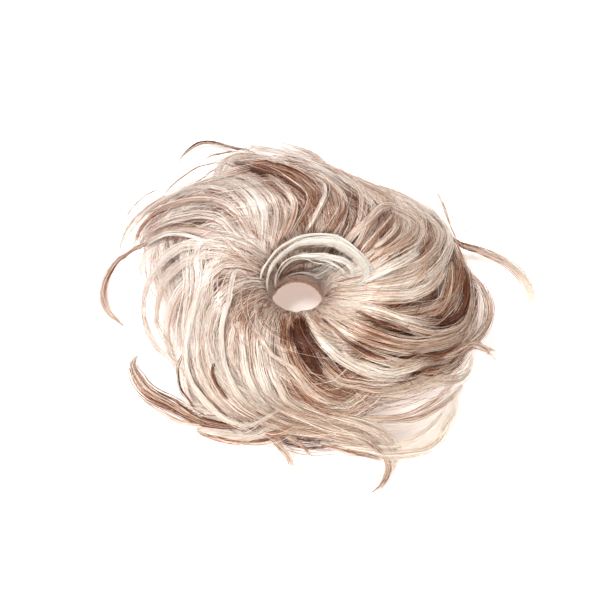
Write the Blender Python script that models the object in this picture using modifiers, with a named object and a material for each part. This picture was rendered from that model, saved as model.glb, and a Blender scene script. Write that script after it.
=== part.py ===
"""Top knot hairpiece: a wreath of false hair sewn round an elastic ring, as it lies on a table.

Metres, +Z up. The origin is the middle of the elastic ring, on the surface that the hairpiece lies on.
Seen from above, every lock leaves the ring outwards, climbs over the crest of the wreath and turns
anticlockwise as it comes down to the outline.
"""

import math

import bmesh
import bpy
import numpy as np

# Elastic ring: a gathered fabric casing round an elastic
BAND_INNER_RADIUS = 0.0130
BAND_WALL = 0.0032
BAND_HEIGHT = 0.0120
BAND_EDGE = 0.0011
GATHER_COUNT = 20
GATHER_DEPTH = 0.0004

# Weft band: the sewn hair track, wound in rows round the elastic ring
WEFT_WALL = 0.0022
WEFT_ROWS = 3
WEFT_ROW_DEPTH = 0.0006
WEFT_LIFT = 0.0008

# Clearances: between seated pieces, and between the two layers of hair
SEAM_GAP = 0.0004
LAYER_GAP = 0.0011

# Wreath of hair
WREATH_HALF_WIDTH = 0.0960
WREATH_HEIGHT = 0.0480
LOWER_HEIGHT = 0.0200
UPPER_LOCK_DEPTH = 0.0042
LOWER_LOCK_DEPTH = 0.0026
UPPER_SWEEP_DEG = 72.0
LOWER_SWEEP_DEG = 58.0
SWEEP_POWER = 1.7

# Loose locks and the crown curl
LOCK_WIDTH = 0.0110
LOCK_THICKNESS = 0.0042
CURL_HALF_LENGTH = 0.0245
CURL_HALF_WIDTH = 0.0145
CURL_OFFSET_X = 0.0108
CURL_OFFSET_Y = 0.0095
CURL_WIDTH = 0.0070
CURL_THICKNESS = 0.0030

BAND_OUTER_RADIUS = BAND_INNER_RADIUS + BAND_WALL
WEFT_INNER_RADIUS = BAND_OUTER_RADIUS + SEAM_GAP
WEFT_OUTER_RADIUS = WEFT_INNER_RADIUS + WEFT_WALL
LOWER_FOOT_RADIUS = WEFT_OUTER_RADIUS + SEAM_GAP
UPPER_FOOT_HEIGHT = BAND_HEIGHT + SEAM_GAP
UPPER_TIP_HEIGHT = 0.45 * LOWER_HEIGHT
LOWER_TIP_HEIGHT = 0.20 * LOWER_HEIGHT

# Steps round the ring for the elastic ring's gathers and for the weft band
STEPS_PER_GATHER = 4
WEFT_STEPS = 48

# The wreath's outline from above, every OUTLINE_STEP_DEG from +X: shares of WREATH_HALF_WIDTH
OUTLINE_STEP_DEG = 20.0
OUTLINE = (0.99, 0.93, 0.885, 0.79, 0.81, 0.855, 0.865, 0.94, 0.96,
           0.85, 0.79, 0.80, 0.82, 0.79, 0.81, 0.93, 1.00, 1.00)

# Bulging locks of the upper layer, anticlockwise from UPPER_ROOT_DEG
# width: share of a turn, before they are made to add up to one; depth: share of UPPER_LOCK_DEPTH;
# reach: share of the outline; turn: degrees swept beyond UPPER_SWEEP_DEG; rise: share of WREATH_HEIGHT
UPPER_ROOT_DEG = 268.0
UPPER_LOCKS = (
    # width, depth, reach, turn, rise
    (0.036, 1.30, 0.90, -2.0, -0.05),
    (0.058, 0.80, 0.96, 3.0, 0.02),
    (0.040, 0.55, 0.93, 5.0, 0.03),
    (0.066, 1.00, 0.97, 0.0, 0.01),
    (0.044, 0.60, 0.92, -4.0, -0.02),
    (0.072, 1.20, 0.95, 2.0, 0.00),
    (0.038, 0.70, 0.90, 7.0, -0.04),
    (0.062, 1.10, 0.96, 4.0, 0.00),
    (0.050, 0.60, 0.92, -3.0, 0.02),
    (0.034, 1.20, 0.88, -6.0, -0.03),
    (0.070, 0.90, 0.96, 0.0, 0.01),
    (0.048, 0.60, 0.98, 5.0, 0.03),
    (0.076, 1.25, 0.93, 8.0, 0.00),
    (0.040, 0.70, 0.89, 3.0, -0.04),
    (0.064, 1.00, 0.95, -2.0, 0.02),
    (0.046, 0.65, 0.91, -5.0, -0.01),
    (0.074, 1.15, 0.95, 0.0, 0.03),
    (0.042, 0.80, 0.92, 4.0, 0.00),
    (0.056, 1.10, 0.94, 1.0, -0.02),
    (0.040, 0.90, 0.90, -4.0, -0.05),
)

# Locks of the lower layer, in the same columns, with LOWER_LOCK_DEPTH and LOWER_SWEEP_DEG
LOWER_ROOT_DEG = 10.0
LOWER_LOCKS = (
    # width, depth, reach, turn, rise
    (0.070, 0.80, 0.99, 3.0, 0.00),
    (0.094, 1.00, 0.96, -2.0, 0.00),
    (0.054, 0.70, 1.00, 4.0, 0.00),
    (0.078, 0.90, 0.97, 0.0, 0.00),
    (0.070, 0.80, 0.99, -4.0, 0.00),
    (0.098, 1.00, 0.95, 0.0, 0.00),
    (0.056, 0.70, 1.00, 5.0, 0.00),
    (0.090, 0.90, 0.97, 2.0, 0.00),
    (0.064, 0.80, 1.00, -3.0, 0.00),
    (0.094, 1.00, 0.96, 0.0, 0.00),
    (0.058, 0.70, 1.00, 4.0, 0.00),
    (0.092, 0.90, 0.98, 0.0, 0.00),
    (0.062, 0.80, 1.00, -2.0, 0.00),
    (0.086, 1.00, 0.96, 0.0, 0.00),
)

# Columns across one lock. at: share of its width; valley: share of its depth
LOCK_COLUMNS = (
    # at, valley
    (0.00, 1.00),
    (0.18, 0.32),
    (0.50, 0.00),
    (0.82, 0.32),
)

# Section of the upper layer, from the foot on the ring over the crest to the tip
# out: share of the way from the ring to the outline; up: share of the way from UPPER_TIP_HEIGHT to
# WREATH_HEIGHT; relief: share of a lock's depth; lobe: how far a valley falls short, as a share
UPPER_SECTION = (
    # out, up, relief, lobe
    (0.010, 0.32, 0.20, 0.00),
    (0.020, 0.58, 0.40, 0.00),
    (0.065, 0.78, 0.60, 0.00),
    (0.150, 0.90, 0.80, 0.00),
    (0.270, 0.975, 1.00, 0.00),
    (0.410, 1.00, 1.00, 0.00),
    (0.560, 0.94, 1.00, 0.00),
    (0.700, 0.78, 1.00, 0.00),
    (0.830, 0.52, 0.90, 0.01),
    (0.930, 0.23, 0.60, 0.03),
    (1.000, 0.00, 0.00, 0.05),
)
# Past the outline a loose lock droops to the table. out: as above; up: share of UPPER_TIP_HEIGHT
DROOP = (
    # out, up
    (1.10, 0.60),
    (1.25, 0.25),
)

# Surface between the two layers, from the weft band outwards
# out: share of the way from the weft band to the outline; up: share of LOWER_HEIGHT
PARTING = (
    # out, up
    (0.10, 0.60),
    (0.27, 0.90),
    (0.45, 0.95),
    (0.59, 0.80),
    (0.72, 0.50),
)
# The lower layer's tips and underside, as shares of its outline
LOWER_TIP_LOBE = 0.05
LOWER_REST = (0.55, 0.95)

# Loose locks. root and sweep: degrees; start, reach and tip: distance from the middle, as shares of
# WREATH_HALF_WIDTH; lift: height over the upper layer, as a share of LOCK_THICKNESS;
# wide and thick: shares of LOCK_WIDTH and LOCK_THICKNESS
UPPER_LOOSE_LOCKS = (
    # root, sweep, start, reach, tip, lift, wide, thick
    (150, 62, 0.32, 0.83, 0.76, 0.15, 1.20, 1.00),
    (176, 92, 0.38, 0.80, 0.60, 0.20, 1.10, 1.00),
    (128, 50, 0.62, 0.99, 0.97, 0.55, 0.60, 0.80),
    (108, 52, 0.40, 0.92, 0.96, 0.15, 1.40, 1.00),
    (70, 52, 0.38, 0.86, 0.92, 0.15, 1.40, 1.10),
    (2, 60, 0.46, 0.96, 0.80, 0.15, 1.40, 1.10),
    (322, 62, 0.44, 0.99, 0.90, 0.15, 1.30, 1.00),
    (286, 66, 0.30, 0.92, 0.90, 0.15, 1.30, 1.00),
    (226, 62, 0.36, 0.80, 0.80, 0.15, 1.20, 1.00),
    (30, -30, 0.72, 1.19, 1.22, 0.10, 0.60, 0.70),
    (84, 42, 0.62, 1.01, 1.03, 0.10, 0.50, 0.60),
)
# Loose locks of the lower layer, near the table, in the same columns but for
# up: height of the lock's middle, as a share of LOWER_HEIGHT
LOWER_LOOSE_LOCKS = (
    # root, sweep, start, reach, tip, up, wide, thick
    (146, 42, 0.66, 1.04, 0.90, 0.18, 0.70, 0.70),
    (250, -50, 0.60, 0.92, 0.87, 0.22, 1.00, 0.80),
    (304, -14, 0.62, 1.02, 1.10, 0.24, 0.80, 0.70),
    (286, 44, 0.62, 1.05, 0.95, 0.26, 0.80, 0.70),
    (336, 10, 0.70, 1.04, 1.09, 0.26, 0.60, 0.60),
    (318, 54, 0.70, 1.02, 0.92, 0.24, 0.80, 0.70),
    (40, 46, 0.60, 0.88, 0.86, 0.24, 0.90, 0.70),
)

# How a loose lock runs: it turns ever faster, levels off, and moves to its tip's distance late;
# its root dips into the layer
LOCK_SWEEP_POWER = 1.7
LOCK_REACH_POWER = 1.8
LOCK_HOOK_FROM = 0.55
LOCK_ROOT_LENGTH = 0.30
LOCK_ROOT_SINK = 1.00
LOCK_STEPS = 12
# Shape of a loose lock. along: share of its length; size: share of its width and thickness
LOCK_TAPER = (
    # along, size
    (0.00, 0.45),
    (0.25, 0.95),
    (0.50, 1.00),
    (0.80, 0.60),
    (1.00, 0.12),
)

# Crown curl: an oval loop that leaves the funnel on the left and lands on the crest on the right
# turn: degrees round the loop; loop: share of its half length and half width;
# lift: height over the upper layer, as a share of CURL_THICKNESS; size: share of its width
CURL_ROUTE = (
    # turn, loop, lift, size
    (202.0, 1.12, -0.3, 0.55),
    (180.0, 1.06, 0.9, 0.85),
    (150.0, 1.00, 1.6, 1.00),
    (112.0, 1.00, 1.8, 1.00),
    (75.0, 1.00, 1.7, 1.00),
    (40.0, 1.00, 1.4, 1.00),
    (5.0, 1.00, 1.0, 0.95),
    (-30.0, 0.97, 0.5, 0.75),
    (-75.0, 0.86, 0.1, 0.25),
)
CURL_STEPS = 24
CURL_SMOOTHING = 3

# Sides of a lock's section, and how far its faces lie from its middle, as a share of its corners
LOCK_SIDES = 6
FACE_SHARE = math.cos(math.pi / LOCK_SIDES)
# How far in and out the surface's slope is measured
SLOPE_STEP = 0.002
WELD_DISTANCE = 0.00001


def make_material(name, colour, roughness):
    material = bpy.data.materials.new(name)
    material.use_nodes = True
    shader = material.node_tree.nodes["Principled BSDF"]
    shader.inputs["Base Color"].default_value = (*colour, 1.0)
    shader.inputs["Roughness"].default_value = roughness
    shader.inputs["Metallic"].default_value = 0.0
    return material


def unit(vectors):
    return vectors / np.linalg.norm(vectors, axis=1, keepdims=True)


def turned_object(name, profile, steps, material):
    """A closed profile of (radius, height) points, turned about Z with a Screw modifier."""
    data = bpy.data.meshes.new(name)
    points = [(radius, 0.0, height) for radius, height in profile]
    edges = [(i, (i + 1) % len(points)) for i in range(len(points))]
    data.from_pydata(points, edges, [])
    data.materials.append(material)
    turned = bpy.data.objects.new(name, data)
    screw = turned.modifiers.new("turn", "SCREW")
    screw.axis = "Z"
    screw.steps = steps
    screw.render_steps = steps
    screw.use_merge_vertices = True
    screw.merge_threshold = WELD_DISTANCE
    screw.use_smooth_shade = True
    return turned


def as_mesh_object(source):
    """Replaces an object by a new one that holds its evaluated mesh, with loose caps welded."""
    bpy.context.scene.collection.objects.link(source)
    evaluated = source.evaluated_get(bpy.context.evaluated_depsgraph_get())
    data = bpy.data.meshes.new_from_object(evaluated)
    name, place = source.name, source.matrix_world.copy()
    bpy.data.objects.remove(source)
    mesh = bmesh.new()
    mesh.from_mesh(data)
    bmesh.ops.remove_doubles(mesh, verts=mesh.verts[:], dist=WELD_DISTANCE)
    bmesh.ops.triangulate(mesh, faces=mesh.faces[:])
    bmesh.ops.recalc_face_normals(mesh, faces=mesh.faces[:])
    mesh.to_mesh(data)
    mesh.free()
    data.shade_smooth()
    result = bpy.data.objects.new(name, data)
    result.matrix_world = place
    return result


def make_elastic_ring(material):
    """A rounded band, flat below, whose fabric is then drawn into gathers round the ring."""
    inner, outer, top = BAND_INNER_RADIUS, BAND_OUTER_RADIUS, BAND_HEIGHT
    edge = min(BAND_EDGE, 0.45 * BAND_WALL)
    profile = (
        (outer - edge, top),
        (outer, top - edge),
        (outer, edge),
        (outer - edge, 0.0),
        (inner + edge, 0.0),
        (inner, edge),
        (inner, 0.5 * top),
        (inner, top - edge),
        (inner + edge, top),
    )
    steps = GATHER_COUNT * STEPS_PER_GATHER
    ring = as_mesh_object(turned_object("elastic_ring", profile, steps, material))
    walls = [vert for vert in ring.data.vertices if 0.5 * edge < vert.co.z < top - 0.5 * edge]
    for vert in walls:
        turn = math.atan2(vert.co.y, vert.co.x)
        pull = GATHER_DEPTH * (0.5 - 0.5 * math.cos(GATHER_COUNT * turn))
        radius = math.hypot(vert.co.x, vert.co.y)
        towards_core = 1 if radius < 0.5 * (inner + outer) else -1
        vert.co.xy *= 1 + towards_core * pull / radius
    return ring


def make_weft_band(material):
    """Rows of sewn track, one above the other."""
    row_height = (BAND_HEIGHT - WEFT_LIFT) / WEFT_ROWS
    profile = []
    for row in reversed(range(WEFT_ROWS)):
        base = WEFT_LIFT + row * row_height
        profile += [
            (WEFT_OUTER_RADIUS - WEFT_ROW_DEPTH, base + row_height),
            (WEFT_OUTER_RADIUS, base + 0.75 * row_height),
            (WEFT_OUTER_RADIUS, base + 0.25 * row_height),
        ]
    profile += [
        (WEFT_OUTER_RADIUS - WEFT_ROW_DEPTH, WEFT_LIFT),
        (WEFT_INNER_RADIUS, WEFT_LIFT),
        (WEFT_INNER_RADIUS, BAND_HEIGHT),
    ]
    return turned_object("weft_band", profile, WEFT_STEPS, material)


def outline_radius(angle):
    """Radius of the wreath's outline at each angle: a smooth closed curve through OUTLINE."""
    share = np.array(OUTLINE)
    place = np.degrees(angle) / OUTLINE_STEP_DEG
    step = np.floor(place).astype(int)
    t = place - step
    before, start, end, after = (share[(step + k) % len(share)] for k in (-1, 0, 1, 2))
    curve = start + 0.5 * t * (
        end - before
        + t * (2 * before - 5 * start + 4 * end - after + t * (3 * (start - end) + after - before))
    )
    return WREATH_HALF_WIDTH * curve


def lock_columns(locks, root_deg, sweep_deg):
    """For each column of a layer: angle at the ring, valley depth, reach, sweep in radians and rise."""
    table = np.array(locks)
    widths = table[:, 0] / table[:, 0].sum()
    starts = np.cumsum(widths) - widths
    following = np.roll(table, -1, axis=0)
    rows = []
    for start, width, lock, after in zip(starts, widths, table, following):
        for at, valley in LOCK_COLUMNS:
            depth, reach, turn, rise = lock[1:] + (after[1:] - lock[1:]) * at
            angle = math.radians(root_deg + 360.0 * (start + width * at))
            rows.append((angle, valley * depth, reach, math.radians(sweep_deg + turn), rise))
    return np.array(rows).T


def swept_row(root, sweep, inner, out, height):
    """One point per column: a share out of the way from inner to the outline, turned by the sweep."""
    out, height = np.broadcast_arrays(out, height, root)[:2]
    angle = root + sweep * np.abs(out) ** SWEEP_POWER
    radius = inner + (outline_radius(angle) - inner) * out
    return np.stack([radius * np.cos(angle), radius * np.sin(angle), height], axis=1)


def wreath_layer(name, rows, material):
    """A torus whose rings are moved to the rows, given from the inner foot over the top to the underside."""
    rings = np.stack(rows, axis=1)[:, ::-1]
    bpy.ops.mesh.primitive_torus_add(major_segments=rings.shape[0], minor_segments=rings.shape[1])
    layer = bpy.context.object
    for holder in layer.users_collection:
        holder.objects.unlink(layer)
    layer.name = name
    layer.data.vertices.foreach_set("co", rings.ravel())
    layer.data.materials.append(material)
    layer.data.shade_smooth()
    mesh = bmesh.new()
    mesh.from_mesh(layer.data)
    bmesh.ops.triangulate(mesh, faces=mesh.faces[:])
    mesh.to_mesh(layer.data)
    mesh.free()
    return layer


def section_height(up):
    return UPPER_TIP_HEIGHT + up * (WREATH_HEIGHT - UPPER_TIP_HEIGHT)


def make_upper_locks(material):
    """The upper layer: one bulge for each lock, standing on the ring and lying on the lower layer."""
    root, valley, reach, sweep, rise = lock_columns(UPPER_LOCKS, UPPER_ROOT_DEG, UPPER_SWEEP_DEG)
    profile = [(out * WREATH_HALF_WIDTH, section_height(up)) for out, up, _, _ in UPPER_SECTION]
    along = unit(np.gradient(np.array(profile), axis=0))
    rows = [swept_row(root, sweep, BAND_INNER_RADIUS, UPPER_SECTION[0][0], UPPER_FOOT_HEIGHT)]
    for (out, up, relief, lobe), (across, climb) in zip(UPPER_SECTION, along):
        depth = valley * relief * UPPER_LOCK_DEPTH
        share = out * (1 + (reach - 1) * out**2) * (1 - lobe * valley) + climb * depth / WREATH_HALF_WIDTH
        height = section_height(up) + rise * relief * up * WREATH_HEIGHT - across * depth
        rows.append(swept_row(root, sweep, BAND_INNER_RADIUS, share, height))
    for out, up in reversed(PARTING):
        height = max(up * LOWER_HEIGHT + LAYER_GAP, UPPER_FOOT_HEIGHT)
        rows.append(swept_row(root, sweep, LOWER_FOOT_RADIUS, out, height))
    return wreath_layer("upper_locks", rows, material)


def make_lower_locks(material):
    """The lower layer: it starts at the weft band, fits under the upper one and rests flat on the table."""
    root, valley, reach, sweep, _ = lock_columns(LOWER_LOCKS, LOWER_ROOT_DEG, LOWER_SWEEP_DEG)
    rows = [swept_row(root, sweep, LOWER_FOOT_RADIUS, 0.0, height) for height in (0.0, BAND_HEIGHT)]
    for out, up in PARTING:
        depth = valley * out * LOWER_LOCK_DEPTH
        rows.append(swept_row(root, sweep, LOWER_FOOT_RADIUS, out, up * LOWER_HEIGHT - depth))
    tip = reach * (1 - LOWER_TIP_LOBE * valley)
    rows.append(swept_row(root, sweep, LOWER_FOOT_RADIUS, tip, LOWER_TIP_HEIGHT))
    for out in reversed(LOWER_REST):
        rows.append(swept_row(root, sweep, LOWER_FOOT_RADIUS, out * reach, 0.0))
    return wreath_layer("lower_locks", rows, material)


def surface_height(x, y):
    """Height of the upper layer's crests at a place, drooping to the table beyond the outline."""
    stations = [(out, section_height(up)) for out, up, _, _ in UPPER_SECTION]
    stations += [(out, up * UPPER_TIP_HEIGHT) for out, up in DROOP]
    edge = outline_radius(np.arctan2(y, x))
    share = (np.hypot(x, y) - BAND_INNER_RADIUS) / (edge - BAND_INNER_RADIUS)
    return np.interp(share, *np.array(stations).T)


def surface_normal(x, y):
    """Unit normals of the upper layer's crests, from the height a little further in and out."""
    radius = np.hypot(x, y)
    step = SLOPE_STEP / radius
    rise = surface_height(x * (1 + step), y * (1 + step)) - surface_height(x * (1 - step), y * (1 - step))
    slope = rise / (2 * SLOPE_STEP)
    return unit(np.stack([-slope * x / radius, -slope * y / radius, np.ones(len(x))], axis=1))


def swept_lock(name, path, facing, size, width, thickness, material):
    """A flat lock: a curve along the path with an oval section, its thin side turned to facing."""
    tangent = unit(np.gradient(path, axis=0))
    upright = unit(np.array([0.0, 0.0, 1.0]) - tangent * tangent[:, 2:3])
    wanted = unit(facing - tangent * np.sum(tangent * facing, axis=1, keepdims=True))
    sine = np.sum(np.cross(upright, wanted) * tangent, axis=1)
    tilt = np.arctan2(sine, np.sum(upright * wanted, axis=1))

    section = bpy.data.curves.new(name + "_section", "CURVE")
    outline = section.splines.new("POLY")
    outline.points.add(LOCK_SIDES - 1)
    for k, point in enumerate(outline.points):
        turn = 2 * math.pi * (k + 0.5) / LOCK_SIDES
        point.co = (0.5 * width * math.cos(turn), 0.5 * thickness * math.sin(turn), 0.0, 1.0)
    outline.use_cyclic_u = True
    section_object = bpy.data.objects.new(section.name, section)

    curve = bpy.data.curves.new(name, "CURVE")
    curve.dimensions = "3D"
    curve.twist_mode = "Z_UP"
    curve.bevel_mode = "OBJECT"
    curve.bevel_object = section_object
    curve.use_fill_caps = True
    curve.materials.append(material)
    spline = curve.splines.new("POLY")
    spline.points.add(len(path) - 1)
    for point, place, share, angle in zip(spline.points, path, size, tilt):
        point.co = (*place, 1.0)
        point.radius = share
        point.tilt = angle
    lock = as_mesh_object(bpy.data.objects.new(name, curve))
    bpy.data.objects.remove(section_object)
    return lock


def make_loose_lock(name, row, lies_on_top, material):
    """A tapered lock that sweeps out from its root in a layer, levels off and moves in or out to its tip."""
    root, sweep, start, reach, tip, lift, wide, thick = row
    t = np.linspace(0.0, 1.0, LOCK_STEPS)
    angle = np.radians(root + sweep * t**LOCK_SWEEP_POWER)
    out = start + (reach - start) * (1 - (1 - t) ** LOCK_REACH_POWER)
    out = out + (tip - reach) * np.clip((t - LOCK_HOOK_FROM) / (1 - LOCK_HOOK_FROM), 0, 1) ** 2
    x = out * WREATH_HALF_WIDTH * np.cos(angle)
    y = out * WREATH_HALF_WIDTH * np.sin(angle)
    size = np.interp(t, *np.array(LOCK_TAPER).T)
    if lies_on_top:
        sink = LOCK_ROOT_SINK * np.clip(1 - t / LOCK_ROOT_LENGTH, 0, 1) ** 2
        height = surface_height(x, y) + (lift - sink) * LOCK_THICKNESS
        facing = surface_normal(x, y)
    else:
        height = np.full(len(t), lift * LOWER_HEIGHT)
        facing = np.tile((0.0, 0.0, 1.0), (len(t), 1))
    height = np.maximum(height, 0.5 * thick * LOCK_THICKNESS * size)
    path = np.stack([x, y, height], axis=1)
    return swept_lock(name, path, facing, size, wide * LOCK_WIDTH, thick * LOCK_THICKNESS, material)


def make_crown_curl(name, clearance, material):
    """The crown curl, or with a clearance, the channel that it lies in."""
    places = np.linspace(0.0, len(CURL_ROUTE) - 1.0, CURL_STEPS)
    turn, loop, lift, size = (
        np.interp(places, np.arange(len(CURL_ROUTE)), column) for column in np.array(CURL_ROUTE).T
    )
    angle = np.radians(turn)
    x = CURL_OFFSET_X + loop * CURL_HALF_LENGTH * np.cos(angle)
    y = CURL_OFFSET_Y + loop * CURL_HALF_WIDTH * np.sin(angle)
    path = np.stack([x, y, surface_height(x, y) + lift * CURL_THICKNESS], axis=1)
    for _ in range(CURL_SMOOTHING):
        path[1:-1] = (path[:-2] + 2 * path[1:-1] + path[2:]) / 4
    tangent = unit(np.gradient(path, axis=0))
    path[0] -= clearance * tangent[0]
    path[-1] += clearance * tangent[-1]
    growth = 2 * clearance / FACE_SHARE / size.min()
    facing = surface_normal(x, y)
    return swept_lock(name, path, facing, size, CURL_WIDTH + growth, CURL_THICKNESS + growth, material)


def add_boolean(target, name, operation, helpers):
    """Joins or cuts a target with every object of a collection."""
    modifier = target.modifiers.new(name, "BOOLEAN")
    modifier.operation = operation
    modifier.solver = "EXACT"
    modifier.operand_type = "COLLECTION"
    modifier.collection = helpers


def helper_collection(name, objects):
    """A collection of shapes that are only joined to or cut from a part."""
    helpers = bpy.data.collections.new(name)
    bpy.context.scene.collection.children.link(helpers)
    for helper in objects:
        helper.hide_render = True
        helper.display_type = "WIRE"
        helpers.objects.link(helper)
    return helpers


def main():
    for existing in list(bpy.data.objects):
        bpy.data.objects.remove(existing)

    upper_hair = make_material("blonde_hair", (0.62, 0.47, 0.36), 0.45)
    lower_hair = make_material("shaded_hair", (0.38, 0.25, 0.18), 0.50)
    curl_hair = make_material("pale_hair", (0.74, 0.64, 0.54), 0.40)
    casing = make_material("elastic_casing", (0.78, 0.62, 0.54), 0.75)
    track = make_material("weft_track", (0.34, 0.23, 0.16), 0.80)

    upper = make_upper_locks(upper_hair)
    lower = make_lower_locks(lower_hair)
    curl = make_crown_curl("crown_curl", 0.0, curl_hair)
    parts = bpy.data.collections.new("top_knot_hairpiece")
    bpy.context.scene.collection.children.link(parts)
    for part in (make_elastic_ring(casing), make_weft_band(track), lower, upper, curl):
        parts.objects.link(part)

    upper_loose = [
        make_loose_lock(f"upper_loose_{k}", row, True, upper_hair) for k, row in enumerate(UPPER_LOOSE_LOCKS)
    ]
    lower_loose = [
        make_loose_lock(f"lower_loose_{k}", row, False, lower_hair) for k, row in enumerate(LOWER_LOOSE_LOCKS)
    ]
    channel = make_crown_curl("curl_channel", SEAM_GAP, curl_hair)
    add_boolean(upper, "join_loose_locks", "UNION", helper_collection("upper_loose_locks", upper_loose))
    add_boolean(lower, "join_loose_locks", "UNION", helper_collection("lower_loose_locks", lower_loose))
    add_boolean(upper, "cut_curl_channel", "DIFFERENCE", helper_collection("curl_cutter", [channel]))


main()
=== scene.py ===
"""Dresses the top knot hairpiece: combed strands of false hair, a gathered casing and a sewn track."""

import logging
import math
from dataclasses import dataclass
from enum import Enum
from typing import Any, Iterable, Sequence

import bpy
import numpy as np
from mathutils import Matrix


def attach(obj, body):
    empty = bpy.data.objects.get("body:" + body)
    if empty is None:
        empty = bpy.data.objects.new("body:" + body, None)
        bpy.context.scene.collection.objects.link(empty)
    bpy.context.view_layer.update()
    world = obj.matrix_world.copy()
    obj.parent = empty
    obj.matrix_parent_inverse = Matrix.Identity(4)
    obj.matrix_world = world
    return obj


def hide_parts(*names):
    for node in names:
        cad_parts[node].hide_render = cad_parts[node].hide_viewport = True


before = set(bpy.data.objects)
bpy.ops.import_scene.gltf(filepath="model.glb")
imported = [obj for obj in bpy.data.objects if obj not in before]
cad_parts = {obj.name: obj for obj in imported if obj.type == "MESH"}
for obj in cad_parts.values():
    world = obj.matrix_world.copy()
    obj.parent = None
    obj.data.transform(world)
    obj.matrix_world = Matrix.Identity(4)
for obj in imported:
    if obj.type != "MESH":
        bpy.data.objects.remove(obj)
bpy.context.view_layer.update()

LOG = logging.getLogger("hairpiece")
MM = 0.001
FULL_TURN = 2 * math.pi
NO_LENGTH = 1e-12
SAMPLES_A_POINT = 24
ROOT_BODY = "root"
BAKE_MAP = "OFBake"
Array = np.ndarray
Pair = tuple[float, float]
Triple = tuple[float, float, float]
Row = tuple[float, float, float, float]
Material = bpy.types.Material
Piece = bpy.types.Object


# Shader helpers


class Value:
    """A node socket that takes part in Python expressions."""

    def __init__(self, shader: "Shader", socket: bpy.types.NodeSocket) -> None:
        """Keeps an output socket.

        Args:
            shader: the shader that new nodes go to.
            socket: the socket.
        """
        self.shader = shader
        self.socket = socket

    def _maths(self, operation: str, first: Any, second: Any) -> "Value":
        """One Math node.

        Args:
            operation: the Math node's operation.
            first: its first value or link.
            second: its second value or link.

        Returns:
            The node's result.
        """
        return self.shader.add("Math", {"operation": operation}, {0: first, 1: second})

    def __add__(self, other: Any) -> "Value":
        """This plus the other."""
        return self._maths("ADD", self, other)

    def __sub__(self, other: Any) -> "Value":
        """This minus the other."""
        return self._maths("SUBTRACT", self, other)

    def __mul__(self, other: Any) -> "Value":
        """This times the other."""
        return self._maths("MULTIPLY", self, other)

    __radd__ = __add__
    __rmul__ = __mul__


class Shader:
    """The node tree of one material, built by adding nodes."""

    def __init__(self, name: str) -> None:
        """Makes an empty material.

        Args:
            name: the material's name.
        """
        self.material = bpy.data.materials.new(name)
        self.material.use_nodes = True
        self.tree = self.material.node_tree
        self.tree.nodes.clear()

    def add(
        self, kind: str, settings: dict[str, Any], values: dict[Any, Any], output: int | str = 0
    ) -> Value:
        """Adds one node: its settings first, then its sockets' values or links.

        Args:
            kind: the node's type name, without ShaderNode before it.
            settings: attributes of the node; "stops" fills a colour ramp with (place, colour) pairs.
            values: socket name or number to a number, a colour of three numbers, or a Value.
            output: the output socket to hand back.

        Returns:
            That output.
        """
        node = self.tree.nodes.new(f"ShaderNode{kind}")
        for key, setting in settings.items():
            if key == "stops":
                self._fill_ramp(node.color_ramp, setting)
            else:
                setattr(node, key, setting)
        for key, value in values.items():
            if isinstance(value, Value):
                self.tree.links.new(value.socket, node.inputs[key])
            elif isinstance(value, tuple):
                node.inputs[key].default_value = (*value, 1.0)
            else:
                node.inputs[key].default_value = value
        return Value(self, node.outputs[output] if node.outputs else None)

    @staticmethod
    def _fill_ramp(ramp: bpy.types.ColorRamp, stops: Sequence[tuple[float, Triple]]) -> None:
        """Gives a colour ramp its stops, in order.

        Args:
            ramp: the ramp, with its first elements in place.
            stops: (place, colour) of each stop.
        """
        while len(ramp.elements) < len(stops):
            ramp.elements.new(0.5)
        for element, (place, colour) in zip(ramp.elements, stops):
            element.position = place
            element.color = (*colour, 1.0)

    def place(self) -> Value:
        """Object coordinates."""
        return self.add("TexCoord", {}, {}, "Object")

    def axis(self, vector: Value, letter: str) -> Value:
        """One coordinate of a vector: X, Y or Z."""
        return self.add("SeparateXYZ", {}, {0: vector}, letter)

    def mix(self, factor: Any, first: Any, second: Any, blend: str = "MIX") -> Value:
        """A Mix node for colours.

        Args:
            factor: share of the second colour.
            first: the first colour or link.
            second: the second colour or link.
            blend: the node's blend type.

        Returns:
            The mixed colour.
        """
        settings = {"data_type": "RGBA", "blend_type": blend}
        return self.add("Mix", settings, {0: factor, 6: first, 7: second}, 2)

    def finish(self, surface: Value) -> Material:
        """Links the surface to the material's output and returns the material."""
        self.add("OutputMaterial", {}, {"Surface": surface})
        return self.material


# Finishes


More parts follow.
